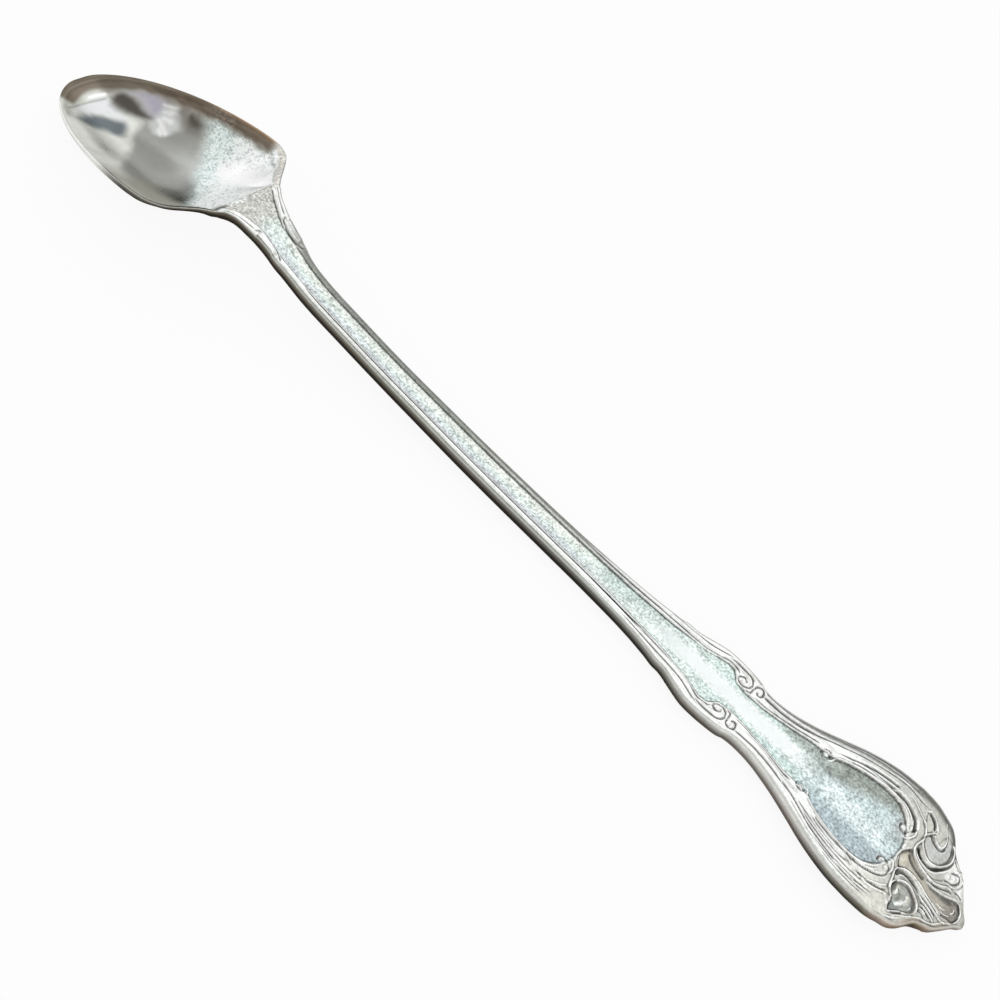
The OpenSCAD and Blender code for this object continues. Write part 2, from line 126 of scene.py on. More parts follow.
def handle_half(x):
    pieces = [
        lead(x, BOWL_LENGTH, NECK_END, NECK_NARROWING, STEM_WIDTH / 2, NECK_WIDTH / 2),
        lead(x, NECK_END, SHOULDER_X, STEM_WIDENING, STEM_WIDTH / 2, SHOULDER_WIDTH / 2),
        lead(x, SHOULDER_X, WAIST_X, SHOULDER_NARROWING, SHOULDER_WIDTH / 2, WAIST_WIDTH / 2),
        lead(x, WAIST_X, WIDEST_X, FLARE, WAIST_WIDTH / 2, END_WIDTH / 2),
    ]
    tip = lead(x, WIDEST_X, LENGTH, TIP_OUTLINE, 0, END_WIDTH / 2)
    return np.select([x <= NECK_END, x <= SHOULDER_X, x <= WAIST_X, x <= WIDEST_X], pieces, tip)


def half(x):
    return np.where(x < BOWL_LENGTH, bowl_half(x), handle_half(x))


def rim_height(x):
    t = x / BOWL_LENGTH
    return TIP_RIM + (NECK_HEIGHT - TIP_RIM) * (1.22 * t - 0.22 * t * t)


def thickness(x):
    way = np.clip((x - BOWL_LENGTH) / NECK_LENGTH, 0, 1)
    neck = NECK_THICKNESS + (STEM_THICKNESS - NECK_THICKNESS) * way
    tip = lead(x, WIDEST_X, LENGTH, TIP_THINNING, TIP_THICKNESS, STEM_THICKNESS)
    return np.where(x <= WIDEST_X, neck, tip)


def back_height(x):
    arch = lead(x, BOWL_LENGTH, LEVEL_X, ARCH, STEM_THICKNESS, NECK_HEIGHT) - thickness(x)
    lift = lead(x, WAIST_X, WIDEST_X, LIFT, 0, END_LIFT)
    tip = lead(x, WIDEST_X, LENGTH, TIP_LIFT, 0, END_LIFT)
    return np.select([x <= LEVEL_X, x <= WAIST_X, x <= WIDEST_X], [arch, 0 * x, lift], tip)


def crest_height(x):
    return back_height(x) + thickness(x)


# bowl: heights from its polar form
SEAM_FLOOR = NECK_HEIGHT - PANEL_DEPTH


def seam_way(x):
    return np.clip((x - 0.9 * BOWL_LENGTH) / (0.1 * BOWL_LENGTH), 0, 1)


def polar_share(x, y):
    """How far out (x, y) lies between the bowl's middle, 0, and its outline, 1."""
    def inside(share):
        return bowl_half(np.clip(CENTRE_X + (x - CENTRE_X) / share, 0, BOWL_LENGTH)) * share >= np.abs(y)

    low = np.maximum((x - CENTRE_X) / (BOWL_LENGTH - CENTRE_X), 0) + 1e-4
    low = np.maximum(low, (CENTRE_X - x) / CENTRE_X)
    at_seam = inside(low)
    a, b = low, np.full_like(low, 1.6)
    for _ in range(40):
        m = (a + b) / 2
        within = inside(m)
        a, b = np.where(within, a, m), np.where(within, m, b)
    return np.where(at_seam, low, b)


def top_at(x):
    return rim_height(x) + (SEAM_FLOOR - rim_height(x)) * seam_way(x) ** 2


def hollow(s):
    """Rise of the bowl's inside: none over its middle tenth, then ever steeper."""
    return np.maximum((s - 0.1) / 0.9, 0) ** 2.1


def bowl_front(x, y):
    s = polar_share(x, y)
    top = top_at(np.clip(CENTRE_X + (x - CENTRE_X) / s, 0, BOWL_LENGTH))
    lip = 1 - 0.6 * RIM_LIP / (BOWL_WIDTH / 2)
    raw = BOWL_WALL + hollow(s / lip) * (top - BOWL_WALL)
    return -LIP_ROUNDING * np.logaddexp(-raw / LIP_ROUNDING, -top / LIP_ROUNDING)


def bowl_back(x, y):
    s = polar_share(x, y) / (1 - UNDERCUT / (BOWL_WIDTH / 2) * (1 - seam_way(x) ** 2))
    top = top_at(np.clip(CENTRE_X + (x - CENTRE_X) / np.maximum(s, 1e-3), 0, BOWL_LENGTH))
    return np.minimum(hollow(s), 1) * (top - RIM_THICKNESS)


# relief on the handle's front
def spline(points, steps=7):
    """Smooth path through points, a flat list of x, y, x, y."""
    p = np.array(points, float).reshape(-1, 2)
    q = np.vstack([2 * p[0] - p[1], p, 2 * p[-1] - p[-2]])
    t = np.arange(steps)[:, None] / steps
    out = []
    for a, b, c, d in zip(q, q[1:], q[2:], q[3:]):
        out.append(0.5 * (2 * b + (c - a) * t + (2 * a - 5 * b + 4 * c - d) * t**2
                          + (3 * b - a - 3 * c + d) * t**3))
    return np.vstack(out + [p[-1:]])


def distance(x, y, path):
    """Distance from each (x, y) to a path, and how far along the path its nearest place lies, 0 to 1."""
    best = np.full(x.shape, 1e9)
    place = np.zeros(x.shape)
    lengths = np.r_[0, np.cumsum(np.hypot(*(path[1:] - path[:-1]).T))]
    for a, b, start, end in zip(path, path[1:], lengths, lengths[1:]):
        d = b - a
        t = np.clip(((x - a[0]) * d[0] + (y - a[1]) * d[1]) / max(d @ d, 1e-12), 0, 1)
        r = np.hypot(x - a[0] - t * d[0], y - a[1] - t * d[1])
        near = r < best
        best = np.where(near, r, best)
        place = np.where(near, (start + t * (end - start)) / lengths[-1], place)
    return best, place


def nearer(x):
    """How much nearer the centre line the right side's pattern lies than the left side's."""
    return np.interp(x, [43, 50, 60, 120, 134, 142, 149, 156, 160, 164],
        [0, 0.15, 0.65, 0.7, 0.57, 0.45, 0.35, 0.2, 0.3, 0])


def stroke(z, x, y, width, rise, points, start=0.12, end=0.12, flat=1, side=1):
    """Adds a ridge (rise > 0) or groove (rise < 0) of half width width, tapered over its start and end."""
    path = spline(points) * [1, side]
    if side < 0:
        path[:, 1] += nearer(path[:, 0])
    rows = (x[:, 0] > path[:, 0].min() - 1.2 * width) & (x[:, 0] < path[:, 0].max() + 1.2 * width)
    if rows.any():
        d, t = distance(x[rows], y[rows], path)
        taper = np.minimum(smooth(t, -start * 0.25, start), smooth(1 - t, -end * 0.25, end))
        w = width * (0.45 + 0.55 * taper)
        z[rows] += rise * taper * np.clip(1 - (d / w) ** (2 * flat), 0, 1) ** (2 if flat == 1 else 1.5)


def bump(z, x, y, cx, cy, rx, ry, rise, power=1):
    """Adds a dome over an ellipse."""
    z += rise * np.clip(1 - ((x - cx) / rx) ** 2 - ((y - cy) / ry) ** 2, 0, 1) ** power


def region(x, y, points, soft=0.15):
    """1 inside a closed outline, 0 outside, with a soft edge."""
    path = spline(points, 4)
    path = np.vstack([path, path[:1]])
    out = np.zeros(x.shape)
    rows = (x[:, 0] > path[:, 0].min() - 1) & (x[:, 0] < path[:, 0].max() + 1)
    px, py = x[rows], y[rows]
    inside = np.zeros(px.shape, bool)
    for (x0, y0), (x1, y1) in zip(path[:-1], path[1:]):
        if y0 != y1:
            inside ^= ((y0 > py) != (y1 > py)) & (px < (x1 - x0) * (py - y0) / (y1 - y0) + x0)
    d, _ = distance(px, py, path)
    out[rows] = smooth(np.where(inside, d, -d), -soft, soft)
    return out


PANEL_EDGE = np.array([40, 6.2, 41.7, 5.1, 44.4, 3.35, 46.9, 2.3, 48.6, 1.85, 51, 1.9, 53, 2, 55.2, 1.88,
    61, 1.82, 70, 1.85, 100, 1.91, 118, 2.03, 125, 2.1, 133, 2.5, 136.3, 2.95, 139, 3.2, 141, 3.8,
    142.5, 4.2, 143.7, 4, 144.4, 3.3, 145, 2.6, 147, 2.3, 150, 2.4, 154.8, 3.1, 157.3, 3.6, 159, 3.75,
    160.6, 3.9, 161.6, 4.1, 163.2, 4.85, 165.8, 5.6, 168.4, 6.05, 170.5, 5.95, 171.6, 5.7, 172.4, 5.2,
    173, 4.75, 173.6, 4.1, 174.3, 3, 174.7, 2, 174.85, 1, 174.9, 0.2]).reshape(-1, 2)


def panel_share(x, y):
    """1 in the sunk panel, 0 on the borders."""
    edge = np.interp(x, PANEL_EDGE[:, 0], PANEL_EDGE[:, 1], left=6.2, right=-1)
    slope = (np.interp(x + 0.2, PANEL_EDGE[:, 0], PANEL_EDGE[:, 1], left=6.2, right=-1) - edge) / 0.2
    d = (edge - np.abs(y) - np.where(y < 0, nearer(x), 0)) / np.sqrt(1 + slope**2)
    return smooth(d, -0.12, 0.16)


# strokes of the relief: half width, rise, points as x, y, x, y, and if they differ from stroke's own,
# the shares of the length that taper at its start and end, and how flat its crest is
BOTH_SIDES = [
    # leaf on the neck's edge
    (0.8, 0.28, [48.1, 2.75, 50, 2.66, 51.9, 2.75], 0.12, 0.12, 1.8),
    # neck
    (0.22, -0.2, [47.5, 3.2, 47.9, 2.35, 49.4, 1.92, 51.4, 1.98, 52.5, 2.35, 53, 2.8]),
    (0.2, -0.12, [42.4, 5.6, 44.6, 4.1, 47.2, 3.05]),
    (0.16, 0.08, [42, 5.35, 44.5, 3.6, 47, 2.5, 48.2, 2.05]),
    # stem and reeds that fan out towards the shoulders
    (0.16, 0.07, [53, 2.15, 56, 1.93, 70, 1.95, 100, 2.01, 118, 2.12, 126, 2.25], 0.02, 0.02),
    (0.24, -0.2, [116, 2.3, 125, 2.55, 131, 2.9, 136.3, 3.15, 139, 3.35, 141, 4.05, 142.5, 4.5, 144, 4.25,
        144.8, 3.6], 0.3, 0.06),
    (0.18, -0.13, [127, 3.2, 133, 3.75, 137, 4.05, 139.3, 4.4, 141.6, 5.1, 143.2, 5.35], 0.3, 0.1),
    (0.16, 0.1, [129, 2.75, 134, 3.2, 138, 3.4, 140.2, 3.9, 141.8, 4.35]),
    # shoulder scroll, and the ring behind it
    (0.24, -0.24, [141.8, 4.9, 143.2, 5.1, 144.7, 5.05, 146.1, 4.85, 146.85, 4.15, 146.75, 3.25,
        145.85, 2.75, 144.9, 3, 144.75, 3.65, 145.3, 4, 146, 3.65], 0.2, 0.1),
    (0.2, 0.12, [142.6, 4.5, 144, 4.65, 145.4, 4.4, 146.2, 3.9, 146.1, 3.3, 145.5, 3.15]),
    (0.23, -0.24, [146.3, 2.5, 147.25, 2.75, 147.35, 3.7, 147.6, 4.4, 148.3, 4.6, 148.85, 4.1,
        148.75, 3.45, 148.2, 3.25, 147.85, 3.7], 0.1, 0.1),
    # flare: grooves beside the roll and beside the panel
    (0.17, -0.15, [157, 4.75, 160.9, 6.2, 164.4, 7.5, 167.9, 8.4, 170.9, 8.9, 173.7, 8.5, 175.2, 8.3]),
    (0.15, -0.08, [159.5, 6.3, 164, 8, 168, 9, 171.5, 9.35, 174, 9.2]),
    (0.2, -0.16, [147.7, 2.62, 150.3, 2.65, 154.8, 3.35, 157.3, 3.95, 158.9, 4.2]),
    (0.18, 0.12, [149.9, 3.15, 152.6, 3.2, 155.2, 3.75, 157.6, 4.4, 159.6, 4.85, 160.7, 4.55, 161, 3.8]),
    (0.17, -0.16, [159.5, 3.1, 159.45, 3.85, 160.05, 4.25, 160.75, 4, 160.85, 3.3]),
    # handle end: inner ridge, and the deep grooves outside it
    (0.24, 0.16, [160.6, 3, 161.2, 3.3, 161.7, 4.25, 163.2, 4.95, 165.6, 5.7, 168.2, 6.18, 170, 6.25,
        171.4, 6, 172.5, 5.5, 173.4, 4.85, 173.7, 4.2], 0.05, 0.1),
    (0.16, 0.1, [171.4, 6.35, 172.5, 5.98, 173.4, 5.4, 173.9, 4.75]),
    (0.2, 0.16, [163, 5.4, 165.2, 6.2, 168.9, 6.65, 170.2, 7, 171.2, 7.6]),
    (0.18, 0.14, [171.6, 8, 172.5, 7.85, 173.4, 7.42, 174.4, 6.8, 175.2, 6.35, 175.86, 5.7], 0.3, 0.02),
    (0.2, 0.18, [175.15, 4.35, 175.35, 3.5, 175.1, 2.7, 174.7, 2.15, 174.1, 2.1]),
    (0.18, -0.16, [173.2, 3.9, 173.1, 3.1, 173.6, 2.6, 174.3, 2.75, 174.5, 3.3]),
]
# groove beside the stem's panel, and the deep grooves outside the end's inner ridge
ONE_SIDE = [
    (0.16, -0.17, [58, -1.52, 80, -1.46, 100, -1.5, 118, -1.66, 128, -1.95, 134, -2.2], 0.05, 0.1),
    (0.34, -0.24, [160.9, 4.9, 163.3, 5.9, 166, 6.98, 168.6, 7.5, 170.5, 7.7], 0.35, 0.06),
    (0.26, -0.12, [162.2, -5.4, 164.5, -6.3, 167, -6.95, 169.2, -7.3, 170.6, -7.35], 0.35, 0.1),
    (0.42, -0.4, [166.5, 6.45, 168.5, 6.75, 170.2, 6.85, 171.7, 6.72, 173, 6.24, 174.2, 5.5, 174.75, 4.7,
        174.85, 3.9, 174.7, 3.3], 0.4, 0.08),
    (0.25, -0.26, [162.5, -5.2, 164.5, -5.9, 167.5, -6.45, 170.2, -6.55, 172.2, -6.3, 173.8, -5.75,
        174.9, -4.9, 175.1, -4, 174.8, -3.2], 0.2, 0.2),
]
FLARE_GROOVE = [148.6, 3.85, 150.5, 3.8, 152.6, 3.84, 155.3, 4.3, 157.8, 5, 159.8, 5.5]
# the fan on the end's right side: how far out each line lies, and where it starts and ends
FAN = [(7.75, 160.5, 171), (8.25, 161.5, 174), (8.75, 163, 175.5), (9.2, 164.5, 175),
    (9.65, 166.5, 174.5)]
# forms of the tip, with their places counted from its start
TIP_START = 170
RING = [6.44, 4.32, 6.72, 3.35, 7.26, 2.69, 7.91, 2.15, 8.66, 2, 9.43, 2.25, 10.22, 2.86, 10.87, 3.94,
    11.09, 4.96, 10.9, 5.88, 10.49, 6.68, 10.02, 7.17]
TONGUE = [0.9, 8.95, 2.6, 8.6, 3.7, 8.47, 4.8, 8.38, 5.4, 8.35, 5.95, 8.12, 6.5, 7.75, 7, 7.3, 7.5, 6.6,
    7.45, 5.9, 7.84, 5.35, 8.4, 5.1, 8.9, 5.12, 9.2, 5.5, 9.22, 6.1, 9.05, 6.8, 8.65, 7.4, 8.25, 8,
    8, 8.8, 6.5, 9.3, 4, 9.6, 1, 9.6]
CHANNEL = [4.95, -0.9, 5.1, 0, 5.55, 0.85, 6.05, 1.45, 6.6, 0.85, 7.5, 0.25, 8.7, -0.05, 10, -0.35,
    11, -0.45, 12, -0.12, 13, 0.4, 14, 1, 14.7, 1.3, 15.25, 0.7, 15.55, 0, 15.6, -0.7, 15.2, -1.5,
    14.3, -1.9, 13.4, -2.25, 12.7, -2.25, 11.9, -2.15, 11.15, -2, 10.3, -1.8, 9.3, -1.5, 8.6, -1.4,
    7.8, -1.32, 7, -1.42, 6.4, -1.68, 5.85, -2.2, 5.4, -1.8]
SHELL = [6.5, -4.4, 6.38, -5.1, 6.6, -5.8, 7.1, -6.35, 7.3, -6.9, 7.3, -7.6, 7.6, -8.2, 8.2, -7.7,
    9, -6.9, 9.8, -6.3, 10.3, -5.7, 10.4, -5, 10.1, -4.42, 9.55, -4.05, 9, -3.72, 8.3, -3.45, 7.7, -3.5,
    7.15, -3.72, 6.7, -4]
TIP = [
    (0.23, 0.27, RING, 0.04, 0.06),
    # left side: comma scroll in its ring
    (0.15, -0.12, [5.15, 7.6, 5.4, 7, 5.83, 6.2, 6.35, 5.5, 6.75, 5.45]),
    (0.22, -0.2, [5.4, 8, 6.02, 7.78, 6.59, 7.35, 6.94, 6.86, 7.08, 6.35]),
    (0.2, 0.16, [5.02, 8, 5.4, 8.3, 5.84, 8.13, 6.47, 7.78, 6.97, 7.3, 7.3, 6.9, 7.6, 6.4]),
    (0.18, 0.18, [6.4, 4.7, 6.9, 5.55, 7.35, 6.1, 7.6, 6.5]),
    (0.16, -0.16, [7, 5.1, 7.15, 5.7, 7.5, 6.1]),
    (0.2, -0.18, [7.1, 5.75, 7.4, 5.2, 7.95, 4.85, 8.7, 4.68, 9.35, 4.95, 9.6, 5.7]),
    (0.18, 0.18, [7.45, 5.9, 7.84, 5.3, 8.3, 5.08, 8.8, 5.05, 9.18, 5.35, 9.3, 6, 9.12, 6.8, 8.72, 7.4,
        8.27, 8.1, 7.95, 8.8], 0.05, 0.3),
    (0.15, -0.12, [6.66, 4.55, 6.85, 3.85, 7.36, 3.15, 8.05, 2.58, 8.78, 2.42, 9.47, 2.6, 10.1, 3.15,
        10.6, 4.2, 10.68, 5.3, 10.4, 6.2, 10, 6.7]),
    (0.36, -0.45, [6.55, 2.75, 7, 2.05, 7.8, 1.5, 8.68, 1.36, 9.44, 1.62, 10.05, 2.2, 10.7, 3.08,
        11.28, 4.12, 11.5, 5.1], 0.08, 0.5),
    (0.5, -0.2, [6.55, 2.5, 7.1, 1.85, 7.8, 1.45]),
    (0.2, 0.22, [5.3, 6.35, 5.86, 5.76, 6.29, 5.07, 6.44, 4.32, 6.4, 3.4, 6.18, 2.6, 6.19, 1.98,
        6.43, 1.36, 6.84, 0.94, 7.5, 0.55, 8.19, 0.33, 8.9, 0.2, 9.7, 0.12, 10.54, 0.2, 11.44, 0.76,
        12.38, 1.5, 13.28, 1.72], 0.02, 0.04),
    (0.15, 0.12, [6.75, 1.5, 7.44, 0.98, 8.37, 0.8, 9.21, 0.9, 9.9, 1.3, 10.6, 1.9]),
    (0.14, -0.1, [9.2, 0.45, 10.2, 0.6, 11, 1.2, 11.6, 1.8]),
    (0.17, -0.2, [9.4, -0.2, 10.1, -0.12, 10.8, 0.02, 11.65, 0.45, 12.6, 1.15, 13.4, 1.5]),
    (0.18, 0.2, [10.3, -0.42, 10.9, -0.36, 11.91, -0.01, 13.01, 0.52, 14, 1.2, 14.6, 1.5]),
    # curl
    (0.17, -0.2, [11.4, 1.75, 11.96, 2.2, 12.6, 2.45, 13.17, 3.05, 13.35, 3.85, 12.98, 4.3, 12.32, 4.05,
        11.75, 3.5]),
    (0.18, 0.2, [12.3, 1.85, 12.9, 2.15, 13.45, 2.73, 13.7, 3.48, 13.72, 4.32, 13.27, 4.8, 12.69, 4.65,
        12.08, 4.25]),
    (0.16, -0.16, [11.4, 5.6, 11.9, 5.2, 12.5, 5]),
    (0.2, -0.2, [13.5, 2, 14.1, 2.2, 14.8, 2]),
    # fluted leaf on the centre line
    (0.3, -0.12, [6.1, 0.9, 6.7, 0.25, 7.8, -0.25, 9.5, -0.5]),
    (0.42, -0.1, [11.9, -0.5, 12.9, -0.1, 13.9, 0.4, 14.7, 0.75], 0.6, 0.3),
    (0.16, 0.1, [12.4, -1.3, 13.2, -1.2, 13.9, -0.85]),
    (0.16, 0.1, [13.2, -1.75, 14, -1.5, 14.7, -1]),
    (0.17, 0.18, [4.8, -1, 4.95, 0, 5.42, 0.9, 5.98, 1.6]),
    (0.15, 0.12, [5.2, -0.7, 5.35, -1.5, 5.8, -2.2]),
    (0.16, 0.1, [14.6, -0.7, 14.85, -0.1, 14.8, 0.4]),
    (0.2, 0.2, [14.7, 1.45, 15.2, 0.95, 15.65, 0.35, 15.72, -0.57, 15.45, -1.5]),
    # right side: cap over the shell
    (0.48, -0.32, [5.95, -3.45, 6.15, -2.8, 6.6, -2.35, 7.2, -2.2, 7.9, -2.22, 8.6, -2.4, 9.3, -2.6,
        10, -2.8], 0.06, 0.45),
    (0.19, 0.2, [6.38, -6, 6.05, -5.2, 5.9, -4.2, 5.7, -3.4, 5.8, -2.5, 6.35, -1.9, 7.03, -1.62,
        7.76, -1.5, 8.6, -1.58, 9.32, -1.67, 10.33, -1.95, 11.15, -2.15, 11.92, -2.28, 12.7, -2.38,
        13.42, -2.45], 0.03, 0.05),
    (0.42, 0.2, [7.15, -4.5, 7.3, -5.1, 7.2, -5.7], 0.4, 0.4),
    (0.5, 0.2, [8.2, -6.6, 8.7, -5.9, 8.95, -5.1, 8.9, -4.5], 0.3, 0.4),
    (0.36, 0.12, [9.5, -6.2, 9.85, -5.6, 9.9, -5], 0.4, 0.4),
    (0.22, 0.24, [7.5, -8.6, 8.2, -7.85, 9.05, -6.95]),
    (0.2, 0.2, [8.2, -8.7, 8.9, -7.9, 9.8, -7, 10.5, -6.1]),
    (0.14, -0.14, [7.9, -8.35, 8.6, -7.75, 9.35, -7]),
    (0.19, 0.22, [6.6, -3.95, 7.08, -3.48, 7.71, -3.2, 8.36, -3.2, 9.09, -3.5, 9.69, -3.85, 10.22, -4.25,
        10.52, -4.8, 10.63, -5.4]),
    (0.18, 0.22, [6.6, -3.95, 6.28, -4.44, 6.2, -5.14, 6.45, -5.87, 6.98, -6.38, 7.3, -6.25]),
    # small leaves towards the tip
    (0.17, 0.2, [9.65, -2.95, 10.39, -3.2, 11.11, -3.26, 11.83, -3.3, 12.51, -3.5, 13.02, -3.64]),
    (0.17, 0.2, [11.7, -1.85, 12.39, -1.95, 12.97, -2, 13.6, -2.2]),
    (0.17, 0.2, [10.3, -2.5, 11, -2.6, 11.8, -2.72, 12.6, -2.85, 13.4, -2.95]),
    (0.17, 0.2, [10.59, -4.43, 11.33, -4.25, 11.85, -4.4]),
    (0.17, 0.2, [10.7, -3.73, 11.6, -3.8, 12.54, -3.95, 13.2, -4.2]),
    (0.17, 0.2, [13.2, -3, 13.9, -3, 14.5, -2.7]),
    (0.15, -0.18, [10, -2.75, 11, -2.95, 12, -3.02, 13, -3.25]),
    (0.15, -0.18, [10.4, -3.5, 11.4, -3.55, 12.6, -3.72]),
    (0.15, -0.18, [10.9, -4, 11.7, -4.05, 12.5, -4.2]),
    (0.15, -0.18, [10.9, -2.3, 11.9, -2.5, 12.8, -2.6]),
    (0.15, -0.18, [10.7, -4.75, 11.3, -4.7, 11.9, -4.85]),
    (0.2, -0.2, [1.7, -7.45, 2.56, -7.45, 3.53, -7.38, 4.41, -7.18, 5.15, -6.93, 5.72, -6.6, 6.2, -6.15]),
    (0.22, 0.12, [2.5, -7.85, 3.6, -7.8, 4.8, -7.5, 5.9, -7, 6.6, -6.7]),
    (0.24, 0.14, [6.5, -9.6, 7.38, -9.4, 8.36, -8.85, 9.3, -7.9, 10.19, -6.75, 10.85, -5.95, 11.52, -5.35,
        12.43, -4.95, 13.3, -4.25, 13.93, -3.3, 14.54, -2.5, 15.5, -1.6]),
]
# sunk places of the tip: depth, softness of the edge, and outline
TIP_DISHES = [
    (0.1, 0.12, RING + [8.9, 7.4, 8.3, 5.2, 7.3, 5.6, 6.8, 5.3]),
    (0.1, 0.1, [5.1, 8, 5.3, 7.3, 5.83, 6.26, 6.35, 5.54, 6.7, 5.5, 7, 6.1, 7, 6.86, 6.6, 7.4, 6, 7.85,
        5.5, 8.1]),
    (0.3, 0.42, CHANNEL),
    (0.08, 0.08, CHANNEL),
    (0.26, 0.2, SHELL),
]
# small domes: centre, half sizes, rise and roundness
BEADS = [(145.45, 3.45, 0.42, 0.42, 0.15, 1), (148.3, 3.95, 0.36, 0.42, 0.18, 1),
         (160.15, 3.62, 0.46, 0.46, 0.3, 0.7), (173.75, 3.3, 0.5, 0.5, 0.26, 0.7),
         (174.55, 3.9, 0.4, 0.45, 0.2, 0.8)]
TIP_BEADS = [(12.55, 3.3, 0.42, 0.5, 0.16), (11.75, 2.9, 0.35, 0.35, 0.12),
             (6.35, -7, 0.5, 0.45, 0.14), (6.9, -7.6, 0.4, 0.4, 0.12)]


def from_edge(x, y, h):
    """Distance inwards from the outline, square to it."""
    slope = np.gradient(h[:, 0], x[:, 0])[:, None]
    return (h - np.abs(y)) / np.sqrt(1 + np.minimum(slope**2, 4))


def border(x, e):
    """Height of the borders, a roll that falls towards the outline."""
    roll = np.interp(x, [42, 118, 126, 140, 150, 158, 172, 187],
        [0.95, 0.95, 0.9, 1.1, 1.05, 1.3, 1.6, 1])
    fall = np.interp(x, [42, 60, 140, 160, 172, 178, 187], [0.2, 0.24, 0.3, 0.36, 0.4, 0.2, 0.15])
    top = np.interp(x, [173, 176.5], [PANEL_DEPTH, 0.3])
    outside = 0.62 * roll
    inner_drop = 0.08 * smooth(e, outside, roll) * fade(x, 173, 176)
    return top - fall * np.clip(1 - e / outside, 0, 1) ** 2 - inner_drop


def relief(x, y, h):
    """Height above the sunk panel's floor."""
    z = border(x, from_edge(x, y, h)) * (1 - panel_share(x, y))
    for row in BOTH_SIDES:
        stroke(z, x, y, *row)
        stroke(z, x, y, *row, side=-1)
    for row in ONE_SIDE:
        stroke(z, x, y, *row)
    for side, width, rise in ((1, 0.34, -0.24), (-1, 0.22, -0.16)):
        stroke(z, x, y, width, rise, np.reshape(FLARE_GROOVE, (-1, 2)) * [1, side], 0.1, 0.35)
    for place, start, end in FAN:
        t = np.linspace(start, end, 5)
        fan = np.stack([t, (10.7 - place) * (0.72 + 0.028 * (t - 160)) - half(t)], 1)
        stroke(z, x, y, 0.15, -0.15, fan, 0.2, 0.25)
    for cx, cy, *sizes in BEADS:
        bump(z, x, y, cx, cy, *sizes)
        bump(z, x, y, cx, nearer(cx) - cy, *sizes)
    tip_x = x - TIP_START
    for row in TIP:
        stroke(z, tip_x, y, *row)
    for row in TIP_BEADS:
        bump(z, tip_x, y, *row)
    for depth, soft, outline in TIP_DISHES:
        z -= depth * region(tip_x, y, outline, soft)
    z += 0.1 * region(tip_x, y, TONGUE, 0.16) * smooth(tip_x, 2, 6)
    return z


def blurred(z, xs, ys, size):
    """z smoothed over size mm along and across."""
    gap = np.exp(-((xs[:, None] - xs) / size) ** 2 / 2) * np.gradient(xs)
    out = (gap / gap.sum(1, keepdims=True)) @ z
    for i, y in enumerate(ys):
        w = np.exp(-((y[:, None] - y) / size) ** 2 / 2) * np.abs(np.gradient(y))
        out[i] = (w / np.maximum(w.sum(1, keepdims=True), 1e-12)) @ out[i]
    return out


# colours, as linear values; several are painted light: a highlight for crests, shade for grooves and the
# far outer edge, slate and dark reflections for the bowl
FROST, BAND, CREST_HIGHLIGHT = (0.74, 0.83, 0.8), (0.92, 0.94, 0.91), (1, 1, 0.99)
GROOVE_SHADE, DEEP_GROOVE_SHADE, BACK = (0.11, 0.112, 0.105), (0.05, 0.05, 0.05), (0.6, 0.59, 0.55)
OUTER_SHADE, SLATE, DARK_REFLECTION = (0.15, 0.152, 0.142), (0.15, 0.175, 0.195), (0.1, 0.087, 0.078)
BEIGE, OLIVE = (0.74, 0.75, 0.7), (0.44, 0.43, 0.37)


def over(base, colour, share):
    """Paints a colour over the base, where share says how much of it."""
    base += (np.array(colour) - base) * np.clip(share, 0, 1)[..., None]


def patch(x, y, points, size, soft=0.6):
    """1 within size mm of a path, fading out over soft mm."""
    return fade(distance(x, y, spline(points))[0], size - soft, size + soft)


